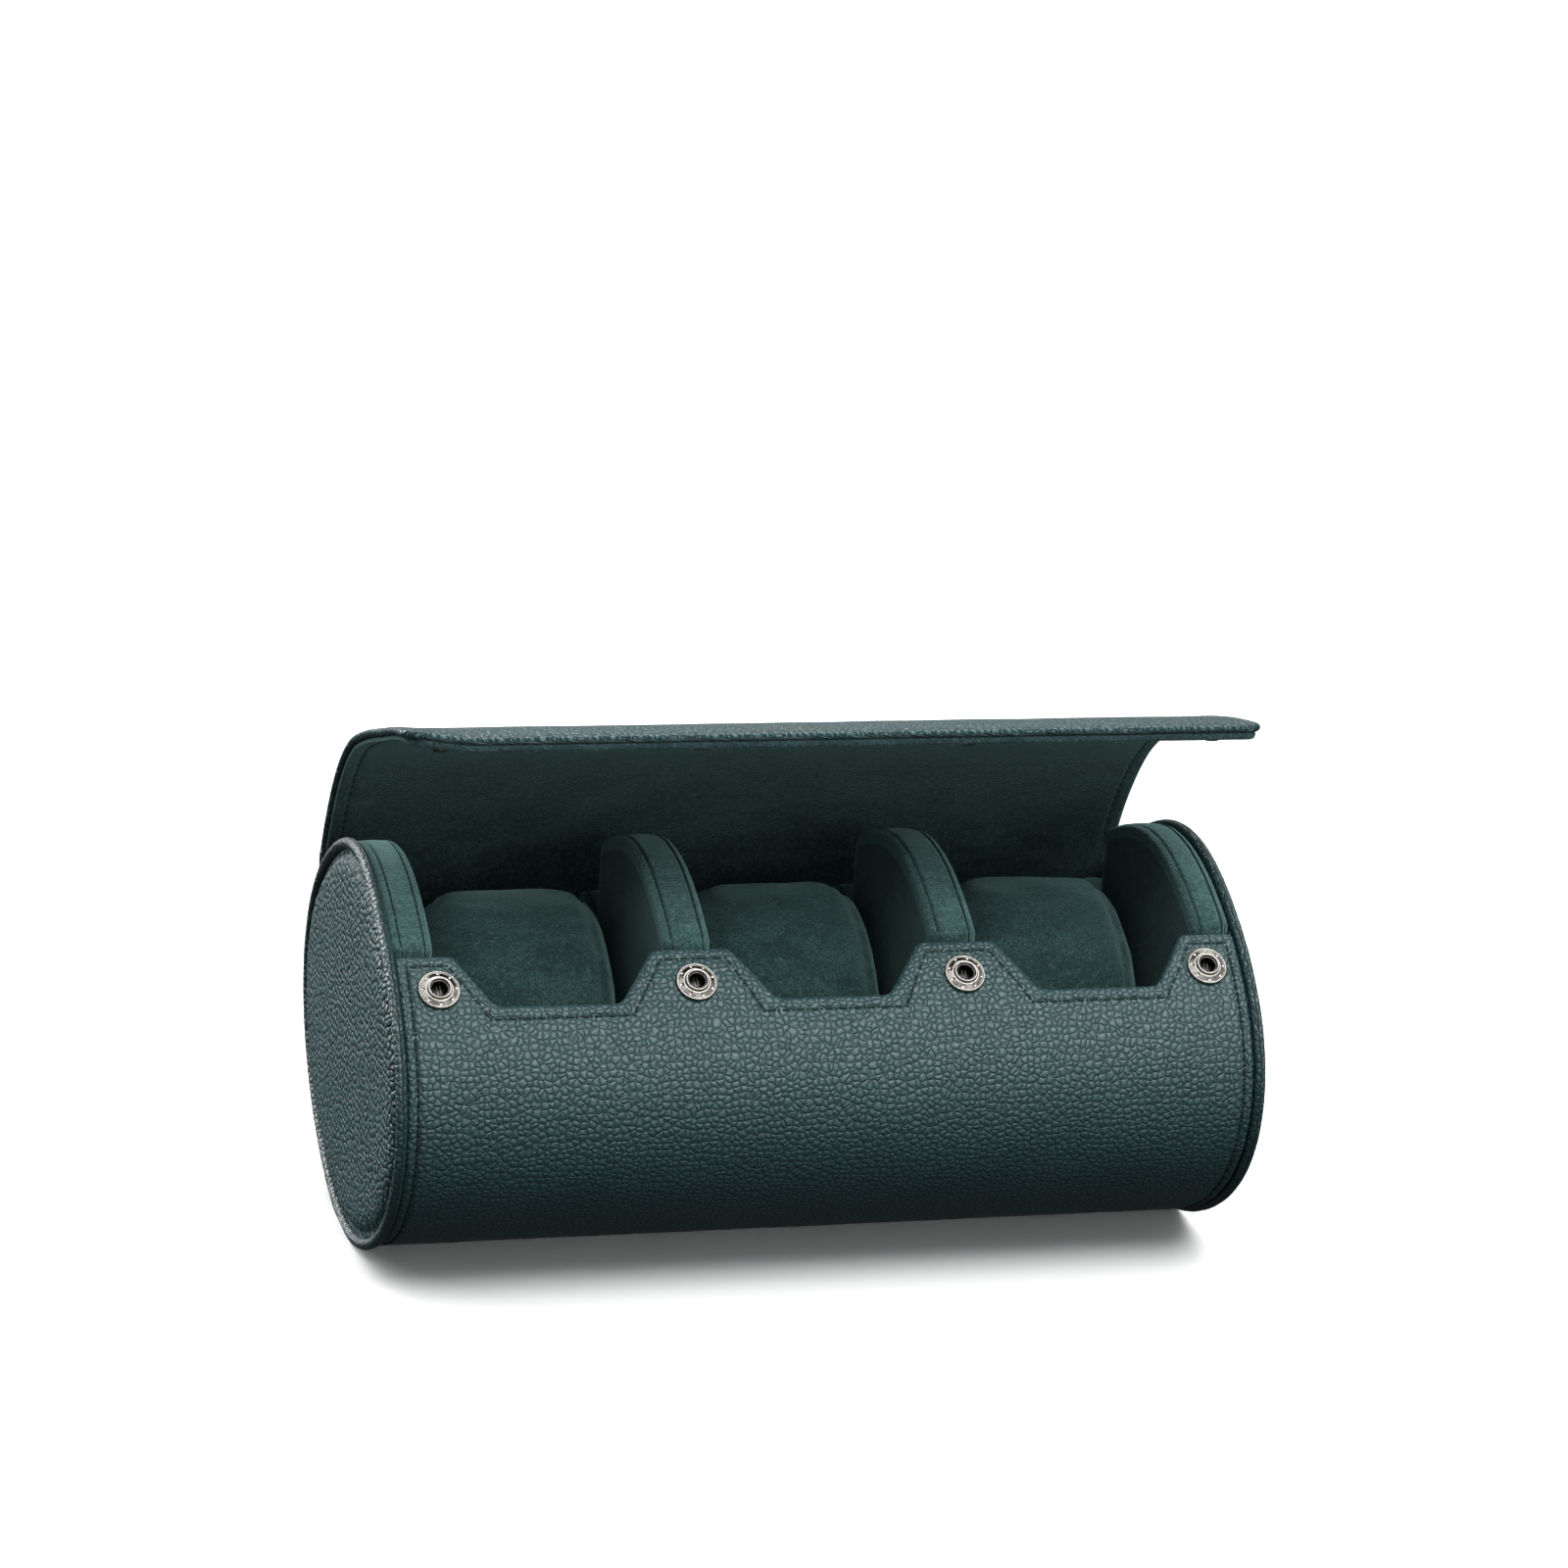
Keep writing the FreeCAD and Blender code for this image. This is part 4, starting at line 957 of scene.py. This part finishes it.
# hinge: leather from the body's rear edge to the lid, and the suede behind it
def hinge_strip(name, layers, x_of, mat, s_lid_end, deg0, uv_start, flip, tuck=0.0):
    """layers: list of (offset on the body, depth on the lid) from outside to inside; tuck lays the lid end under another sheet."""
    body_deg = np.linspace(deg0, 22.4, 8)
    lid_s = np.linspace(0.6, s_lid_end, 12)
    lines = []
    for off, dep in layers:
        pts = []
        for d in body_deg:
            # the hinge leather goes under the body's rear edge
            y, z = sec(d, off - (0.0 if tuck else 0.95 * (1 - smooth(20.9, 22.35, d))))
            pts.append((float(y), float(z)))
        for s in lid_s:
            y, z = lid_at(s, dep - tuck * smooth(s_lid_end - 4.5, s_lid_end - 1.5, s))
            pts.append((float(y), float(z)))
        pts = np.array(pts)
        # soften the bend
        q = pts.copy()
        for _ in range(10):
            q[1:-1] = 0.5 * q[1:-1] + 0.25 * (q[:-2] + q[2:])
            q[:4] = pts[:4]
            q[-4:] = pts[-4:]
        lines.append(q)
    u = np.linspace(-1, 1, 300)
    n_p = len(lines[0])
    seg = np.concatenate([[0], np.cumsum(np.hypot(*np.diff(lines[0], axis=0).T))])
    V_, UV_ = [], []
    loops = list(range(len(lines)))
    for k in loops:
        for i in range(n_p):
            w = x_of(i, n_p)
            row = np.stack([u * w, np.full(len(u), lines[k][i, 0]), np.full(len(u), lines[k][i, 1])], 1)
            V_.append(row)
            UV_.append(np.stack([u * w / 100 + 1.5 + 3 * k, np.full(len(u), uv_start + seg[i] / 100)], 1))
    V_ = np.array(V_)
    faces = []
    nu = len(u)
    if len(lines) == 1:
        faces = grid_faces(n_p, nu, flip=flip)
    else:
        faces = grid_faces(n_p, nu, flip=flip) + grid_faces(n_p, nu, base=n_p * nu, flip=not flip)
        for i in range(n_p - 1):                              # close the two sides
            for j in (0, nu - 1):
                q = (i * nu + j, (i + 1) * nu + j, n_p * nu + (i + 1) * nu + j, n_p * nu + i * nu + j)
                faces.append(q if (j == 0) != flip else q[::-1])
        for i in (0, n_p - 1):
            for j in range(nu - 1):
                q = (i * nu + j, i * nu + j + 1, n_p * nu + i * nu + j + 1, n_p * nu + i * nu + j)
                faces.append(q if (i != 0) != flip else q[::-1])
    o = make(name, V_.reshape(-1, 3), faces, mat, np.array(UV_).reshape(-1, 2))
    return tidy(o) if len(lines) > 1 else tidy(o, 0.5)


def hinge_blend(o):
    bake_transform(o)


def hinge_width(i, n):
    # full width on the body, then following the lid's rounded rear corners
    s = np.linspace(0.6, S_SPLIT, 12)
    if i < 8:
        return 109.9 - 1.2 * smooth(3, 8, i)
    return min(float(wl(s[i - 8])), 109.9 if i < 12 else 112.0) if i < n - 1 else float(wl(S_SPLIT))


def suede_width(i, n):
    return 108.4 if i < 8 else min(float(wl(0.6 + 8.0 * (i - 8) / 11.0)) - 0.9, 108.4)


o = hinge_strip("hinge_cover", [(0.0, 0.0), (-1.5, 1.7)], hinge_width, M_LID, S_SPLIT, 18.5, float(arc(378.5)) / 100, False)
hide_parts("hinge_leather")
hinge_blend(o)
o = hinge_strip("hinge_suede", [(-3.6, 3.28)], suede_width, M_SUEDE, 8.6, 17.5, 0.0, True, 0.5)
hinge_blend(o)


# stitches near the lid's edge, seen from outside and inside
def lid_place(depth, outward):
    def f(x, s):
        lift = float(corner_lift(x, s))
        y, z = lid_at(s, depth + lift)
        y2, z2 = lid_at(s, depth + lift + 1.0)
        n = np.array([0.0, float(y - y2), float(z - z2)])
        if not outward:
            n = -n
        n /= np.linalg.norm(n)
        y3, z3 = lid_at(s + 0.5, depth)
        y4, z4 = lid_at(s - 0.5, depth)
        t = np.array([0.0, float(y3 - y4), float(z3 - z4)])
        t /= np.linalg.norm(t)
        return np.array([x, float(y), float(z)]), n, t
    return f


e_out = 3.1
run_out = [(-111.5 + e_out, 14.0)] + [(-111.5 + e_out, s) for s in np.arange(17.8, S_TIP - 5.2, 3.75)] + \
    [(-111.5 + e_out + 0.2, S_TIP - e_out - 1.6), (-111.5 + e_out + 1.8, S_TIP - e_out), (111.5 - e_out - 1.8, S_TIP - e_out),
     (111.5 - e_out - 0.2, S_TIP - e_out - 1.6)] + \
    [(111.5 - e_out, s) for s in np.arange(17.8, S_TIP - 5.2, 3.75)[::-1]] + [(111.5 - e_out, 14.0)]
st = stitch_run(run_out, 3.75, 2.75, lid_place(0.12, True), width=0.5, height=0.3)
o = make("lid_stitching", st[0], st[1], M_THREAD_LID)
lid_blend(o)
e_in = 3.5
run_in = [(-HALF_N + e_in, 14.0)] + [(-HALF_N + e_in, s) for s in np.arange(17.0, S_N1 - 6.2, 3.0)] + \
    [(-HALF_N + e_in + 0.2, S_N1 - e_in - 1.6), (-HALF_N + e_in + 1.8, S_N1 - e_in), (HALF_N - e_in - 1.8, S_N1 - e_in),
     (HALF_N - e_in - 0.2, S_N1 - e_in - 1.6)] + \
    [(HALF_N - e_in, s) for s in np.arange(17.0, S_N1 - 6.2, 3.0)[::-1]] + [(HALF_N - e_in, 14.0)]
st = stitch_run(run_in, 3.0, 2.2, lid_place(2.98, False), width=0.40, height=0.30)
o = make("lining_stitching", st[0], st[1], M_THREAD)
lid_blend(o)


# ------------------------------------------------------------------ snaps
def lathe(profile, seg=64, mod=None, ring=False):
    """Turned solid about +Z from a list of (r, z); a ring joins its last point to its first. mod(angle, k) gives (dr, dz)."""
    v, f = [], []
    n = len(profile)
    for j in range(seg):
        a = 2 * math.pi * j / seg
        for k, (r, z) in enumerate(profile):
            dr, dz = (0.0, 0.0) if mod is None else mod(a, k)
            v.append(((r + dr) * math.cos(a), (r + dr) * math.sin(a), z + dz))
    for j in range(seg):
        j2 = (j + 1) % seg
        for k in range(n if ring else n - 1):
            k2 = (k + 1) % n
            f.append((j * n + k, j2 * n + k, j2 * n + k2, j * n + k2))
    return v, f


SNAP_X = [-100.25, -35.05, 35.05, 100.25]
SNAP_S = float(arc(147.2))


def snap_frame(x, off=0.0):
    p, n, t = surface(x, SNAP_S, off)
    return p, n, t


def place_on(vf, p, n, t):
    v, f = vf
    xax = np.array([1.0, 0, 0])
    yax = np.cross(n, xax)
    return [p + xax * q[0] + yax * q[1] + n * q[2] for q in v], f


sock = ([], [])
inside = ([], [])
FL = [(r, 0.74 + (4.58 - r) * 0.44) for r in np.linspace(4.58, 3.34, 11)]
CAP_RING = [(2.95, -2.7), (2.95, 0.02), (5.00, 0.02), (5.20, 0.16), (5.25, 0.42), (5.20, 0.68), (5.04, 0.86), (4.88, 0.86), (4.76, 0.76),
            (4.70, 0.62), (4.64, 0.62)] + FL + [(3.26, 1.20), (3.20, 1.24), (3.14, 1.50), (3.05, 1.74), (2.90, 1.88), (2.72, 1.92),
                                               (2.55, 1.86), (2.44, 1.70), (2.42, 1.40), (2.40, -2.7)]


def cap_detail(ix):
    """Knurled rim, a finer ring round the hole, and plain dimples on the flange."""
    spots = [2 * math.pi * (j + 0.3 * ix) / 8 for j in range(8)]

    def f(a, k):
        if 3 <= k <= 7:
            return 0.12 * math.cos(64 * a) * (1.0 if k < 7 else 0.5), 0.0
        if 24 <= k <= 26:
            return 0.07 * math.cos(48 * a), 0.03 * math.cos(48 * a)
        if 11 <= k < 11 + len(FL):
            r = FL[k - 11][0]
            dz = 0.0
            for q in spots:
                d = math.hypot(r - 3.97, 3.97 * ((a - q + math.pi) % (2 * math.pi) - math.pi))
                if d < 0.42:
                    dz -= 0.22 * (1 - (d / 0.42) ** 2) ** 0.7
            return 0.0, dz
        return 0.0, 0.0
    return f


for ix, x in enumerate(SNAP_X):
    p, n, t = snap_frame(x)
    add(sock, place_on(lathe(CAP_RING, 256, cap_detail(ix), True), p, n, t))
    # spring ring and the floor of the hole
    add(inside, place_on(lathe([(2.385, 1.42), (2.15, 1.34), (1.96, 1.10), (1.98, 0.78), (2.2, 0.6), (2.385, 0.5)], 48, None, True), p, n, t))
    for q in (0.35, 0.62):                              # two wires of the spring across the hole
        w0 = [(q * 3.1 - 1.5, yy, -0.45 + 0.12 * math.cos(yy)) for yy in np.linspace(-2.1, 2.1, 15)]
        vv, ff = [], []
        for i, c in enumerate(w0):
            for j in range(8):
                an = 2 * math.pi * j / 8
                vv.append((c[0] + 0.17 * math.cos(an), c[1], c[2] + 0.17 * math.sin(an)))
        ff = grid_faces(15, 8, wrap_v=True)
        ff.append(tuple(range(8)))
        ff.append(tuple(14 * 8 + j for j in range(8))[::-1])
        add(inside, place_on((vv, ff), p, n, t))
    add(inside, place_on(lathe([(0.0, -0.9), (2.39, -0.8), (2.39, -1.2), (0.0, -1.2)], 40), p, n, t))
o = tidy(make("socket_caps", sock[0], sock[1], M_NICKEL))
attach(o, "shell")
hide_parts("snap_sockets")
# the parts in the hole take the darker nickel, painted shade
o = tidy(make("socket_springs", inside[0], inside[1], M_NICKEL_SHADED))
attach(o, "shell")


# studs, turned where the shut lid would meet the sockets and carried back to rest with the flap
def to_rest(v):
    v = np.asarray(v, float).copy()
    yz = rotate2(v[:, 1:], (HP[0], HP[1] + ZC), -26.0)
    yz = rotate2(yz, (KP[0], KP[1]), -26.0)
    v[:, 1:] = yz
    return v


studs = ([], [])
for x in SNAP_X:
    p, n, t = snap_frame(x)
    prof = [(0.0, 0.0), (0.9, 0.0), (1.5, 0.04), (1.76, 0.18), (1.86, 0.40), (1.88, 0.58), (1.84, 0.78), (1.74, 0.96), (1.66, 1.12),
            (1.64, 2.05), (1.78, 2.16), (2.6, 2.20), (3.5, 2.22), (3.78, 2.30), (3.88, 2.45), (3.86, 2.62), (3.5, 2.74), (0.0, 2.74)]
    add(studs, place_on(lathe(prof, 56), p + n * (0.6 if x < -90 else 0.0), n, t))
# the studs take the darker nickel, painted shade under the lid
o = tidy(make("stud_posts", to_rest(studs[0]), studs[1], M_NICKEL_SHADED))
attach(o, "lid_flap")
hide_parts("snap_studs")


# ------------------------------------------------------------------ pillows
PT = math.radians(44.0)
PC = np.array([-2.0, ZC + 10.0])


def pillow_mesh(name, xc, shrink, length, rnd):
    """Oval roll with rounded ends, to be swollen by the cloth solver."""
    n_a, ends = 72, []
    a_ax, b_ax = 36.0 - shrink, 27.0 - shrink
    prof = []
    for k in range(7):
        t = math.pi / 2 * k / 6
        prof.append((-length / 2 + rnd - rnd * math.cos(t), rnd - rnd * math.sin(t)))
    for x in np.linspace(-length / 2 + rnd, length / 2 - rnd, 9)[1:-1]:
        prof.append((x, 0.0))
    prof += [(-x, i) for x, i in prof[:7][::-1]]
    v, f = [], []
    for x, inset in prof:
        for j in range(n_a):
            t = 2 * math.pi * j / n_a
            u, w = (a_ax - inset) * math.cos(t), (b_ax - inset) * math.sin(t)
            v.append((xc + x, PC[0] + u * math.cos(PT) - w * math.sin(PT), PC[1] + u * math.sin(PT) + w * math.cos(PT)))
    n = len(prof)
    f = grid_faces(n, n_a, wrap_v=True, flip=True)
    f.append(tuple(range(n_a)))
    f.append(tuple((n - 1) * n_a + j for j in range(n_a))[::-1])
    return make(name, v, f, M_PILLOW)


def swell(o, cap_mm, voxel=0.0036, pressure=4.0):
    """Remeshes a closed shape, lets air pressure round it, and keeps each point within cap_mm of where it was."""
    bpy.context.view_layer.objects.active = o
    m = o.modifiers.new("remesh", "REMESH")
    m.mode = "VOXEL"
    m.voxel_size = voxel
    dg = bpy.context.evaluated_depsgraph_get()
    me = bpy.data.meshes.new_from_object(o.evaluated_get(dg))
    o.modifiers.clear()
    o.data = me
    start = np.zeros(len(me.vertices) * 3)
    me.vertices.foreach_get("co", start)
    start = start.reshape(-1, 3)
    c = o.modifiers.new("cloth", "CLOTH")
    c.settings.quality = 6
    c.settings.mass = 0.25
    c.settings.tension_stiffness = 12
    c.settings.compression_stiffness = 12
    c.settings.shear_stiffness = 6
    c.settings.bending_stiffness = 0.6
    c.settings.use_pressure = True
    c.settings.uniform_pressure_force = pressure
    c.settings.effector_weights.gravity = 0.0
    sc = bpy.context.scene
    c.point_cache.frame_start, c.point_cache.frame_end = 1, 20
    for fr in range(1, 21):
        sc.frame_set(fr)
    dg = bpy.context.evaluated_depsgraph_get()
    done = bpy.data.meshes.new_from_object(o.evaluated_get(dg))
    end = np.zeros(len(done.vertices) * 3)
    done.vertices.foreach_get("co", end)
    end = end.reshape(-1, 3)
    o.modifiers.clear()
    sc.frame_set(1)
    if len(end) == len(start):
        d = end - start
        L = np.linalg.norm(d, axis=1, keepdims=True)
        d = d / np.maximum(L, 1e-9) * np.minimum(L, cap_mm * MM)
        me.vertices.foreach_set("co", (start + d).ravel())
    me.update()
    s = o.modifiers.new("smooth", "SUBSURF")
    s.levels = s.render_levels = 1
    dg = bpy.context.evaluated_depsgraph_get()
    me = bpy.data.meshes.new_from_object(o.evaluated_get(dg))
    o.modifiers.clear()
    o.data = me
    me.polygons.foreach_set("use_smooth", [True] * len(me.polygons))
    if not me.materials:
        me.materials.append(M_PILLOW)
    return o


def oval_value(y, z):
    dy, dz = y - PC[0], z - PC[1]
    u = dy * math.cos(PT) + dz * math.sin(PT)
    w = -dy * math.sin(PT) + dz * math.cos(PT)
    return np.arctan2(w, u), np.hypot(u / 36.0, w / 27.0)


for place, xc in (("left", -70.45), ("middle", 0.0), ("right", 70.45)):
    o = pillow_mesh("pillow_" + place, xc, 4.2, 48.0, 11.0)
    swell(o, 3.2)
    me = o.data
    co = np.zeros(len(me.vertices) * 3)
    me.vertices.foreach_get("co", co)
    co = co.reshape(-1, 3) / MM
    # brought to one size, whatever the solver gave
    belt = np.abs(co[:, 0] - xc) < 6.0
    have = np.percentile(oval_value(co[belt, 1], co[belt, 2])[1], 90)
    co[:, 1:] = PC + (co[:, 1:] - PC) * (0.878 / have) + np.array([0.0, -1.0])
    # press a seam in near each end, add soft creases
    c = np.array([xc, PC[0], PC[1]])
    d = co - c
    d[:, 0] = 0
    L = np.maximum(np.linalg.norm(d, axis=1, keepdims=True), 1e-6)
    ax = np.abs(co[:, 0] - xc)
    groove = 0.9 * np.exp(-((ax - 19.0) / 0.9) ** 2)
    w = wobble(co, 11.0, 6.0 + xc / 50)
    w2 = wobble(co * np.array([0.5, 1.6, 1.6]), 6.0, 2.0 + xc / 50)
    crease = 0.55 * w + 0.30 * w2 * (0.4 + 0.6 * np.exp(-((ax - 19.0) / 6.0) ** 2))
    co = co + d / L * (crease - groove)[:, None] * smooth(6, 16, L)
    me.vertices.foreach_set("co", (co * MM).ravel())
    me.update()
    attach(o, "pillow_" + place)
    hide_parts("pillow_suede_" + place, "pillow_foam_" + place)


# ------------------------------------------------------------------ padded floor under each pillow
def build_seat(name, xc, seed):
    L = 57.0
    zt = ZC - 8.0
    deg = np.linspace(196.0, 344.0, 90)
    deg = np.array([d for d in deg if sec(d, -4.2)[1] < zt - 0.8])
    outer = np.stack(sec(deg, -4.2), 1)
    # top line from right (rear) to left (front): flat, dipping under the pillow
    y_r, y_l = outer[-1, 0], outer[0, 0]
    top = []
    for y in np.linspace(y_r - 0.8, y_l + 0.8, 90):
        top.append([y, zt])
    top = np.array(top)
    t = np.linspace(0, 2 * math.pi, 1441)
    ou, ow = 37.2 * np.cos(t), 28.2 * np.sin(t)
    oy = PC[0] + ou * math.cos(PT) - ow * math.sin(PT)
    oz = PC[1] + ou * math.sin(PT) + ow * math.cos(PT)
    for i in range(len(top)):
        near = oz[np.abs(oy - top[i, 0]) < 0.4]
        if len(near):
            top[i, 1] = min(zt, near.min() - 0.2)
    top[:, 1] = np.convolve(np.pad(top[:, 1], 2, mode="edge"), np.ones(5) / 5, mode="valid")
    ring = np.concatenate([outer, top])
    n = len(ring)
    xs = np.concatenate([[-L / 2, -L / 2 + 0.4, -L / 2 + 1.2, -L / 2 + 2.4], np.linspace(-L / 2 + 5, L / 2 - 5, 14),
                         [L / 2 - 2.4, L / 2 - 1.2, L / 2 - 0.4, L / 2]])
    cen = ring.mean(0)
    P = []
    for x in xs:
        e = L / 2 - abs(x)
        inset = 2.4 - math.sqrt(max(0.0, 2.4 ** 2 - (2.4 - min(e, 2.4)) ** 2))
        d = ring - cen
        k = np.linalg.norm(d, axis=1, keepdims=True)
        q = cen + d / k * (k - inset)
        P.append(np.stack([np.full(n, xc + x), q[:, 0], q[:, 1]], 1))
    P = np.array(P)
    f = grid_faces(len(xs), n, wrap_v=True, flip=True)
    f.append(tuple(range(n)))
    f.append(tuple((len(xs) - 1) * n + j for j in range(n))[::-1])
    o = tidy(make(name, P.reshape(-1, 3), f, M_SUEDE))
    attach(o, "shell")
    return o


for k, (place, xc) in enumerate((("left", -70.45), ("middle", 0.0), ("right", 70.45))):
    o = build_seat("seat_" + place, xc, k)
    if k == 0:
        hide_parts("seat_pads")

# ------------------------------------------------------------------ floor, light, camera
fm, nt, b = new_mat("studio_floor")
tc = nt.nodes.new("ShaderNodeTexCoord")
fn = noise_tex(nt, tc.outputs["Object"], 6.0, 2.0, 0.5)
nt.links.new(mix_color(nt, fn.outputs["Fac"], (0.90, 0.90, 0.90), (0.92, 0.92, 0.92)), b.inputs["Base Color"])
b.inputs["Roughness"].default_value = 0.22
b.inputs["Specular IOR Level"].default_value = 0.35
bpy.ops.mesh.primitive_plane_add(size=3.6, location=(0, 0.0, 0.0))
floor = bpy.context.object
floor.name = "studio_floor"
floor.data.materials.append(fm)
floor.visible_diffuse = False
floor.visible_glossy = False

world = bpy.data.worlds.new("studio")
bpy.context.scene.world = world
world.use_nodes = True
wn_ = world.node_tree
bg = wn_.nodes["Background"]
# brighter above the horizon than below it, and white where the camera sees it
wtc = wn_.nodes.new("ShaderNodeTexCoord")
wsep = wn_.nodes.new("ShaderNodeSeparateXYZ")
wn_.links.new(wtc.outputs["Generated"], wsep.inputs[0])
sky = ramp(wn_, wsep.outputs[2], -0.25, 0.25, 0.04, 0.42)
lp = wn_.nodes.new("ShaderNodeLightPath")
seen = wn_.nodes.new("ShaderNodeMix")
wn_.links.new(lp.outputs["Is Camera Ray"], seen.inputs[0])
wn_.links.new(sky, seen.inputs[2])
seen.inputs[3].default_value = 1.06
wn_.links.new(seen.outputs[0], bg.inputs[1])
bg.inputs[0].default_value = (0.97, 0.99, 1.0, 1.0)


def area(name, loc, target, size, size_y, power, color=(1, 1, 1)):
    li = bpy.data.lights.new(name, "AREA")
    li.shape = "RECTANGLE"
    li.size, li.size_y = size, size_y
    li.energy = power
    li.color = color
    ob = bpy.data.objects.new(name, li)
    bpy.context.scene.collection.objects.link(ob)
    ob.location = loc
    d = Vector(target) - Vector(loc)
    ob.rotation_euler = d.to_track_quat("-Z", "Y").to_euler()
    return ob


area("overhead", (0.0, 0.8, 3.2), (0.0, 0.8, 0.0), 7.0, 7.0, 215.0)
area("key", (0.45, -0.95, 1.9), (0.0, 0.0, 0.05), 1.5, 1.2, 42.0)
area("front_fill", (0.55, -2.5, 0.7), (0.0, 0.0, 0.06), 2.0, 1.0, 19.0)
area("left", (-1.9, 1.7, 0.45), (0.0, 0.0, 0.10), 1.0, 0.6, 34.0)
area("left_back", (-1.15, 1.9, 0.95), (-0.1, 0.0, 0.05), 1.3, 1.2, 38.0)
area("back_top", (-0.2, 1.7, 1.2), (0.0, 0.0, 0.12), 2.0, 0.5, 14.0)

cam = bpy.data.cameras.new("photo_view")
cam.lens = 108.365
cam.sensor_width = 36.0
cam.sensor_fit = "AUTO"
cam.clip_start, cam.clip_end = 0.01, 60.0
cob = bpy.data.objects.new("photo_view", cam)
bpy.context.scene.collection.objects.link(cob)
F = Vector((0.27284, 0.91634, -0.29305)).normalized()
U = Vector((0.01871, 0.29950, 0.95391)).normalized()
R = F.cross(U).normalized()
U = R.cross(F).normalized()
rot = Matrix((R, U, -F)).transposed()
cob.matrix_world = Matrix.Translation(Vector((-0.333389, -1.114898, 0.423724 + ZC * MM))) @ rot.to_4x4()
bpy.context.scene.camera = cob
bpy.context.scene.view_settings.view_transform = "Standard"
bpy.context.scene.view_settings.look = "None"
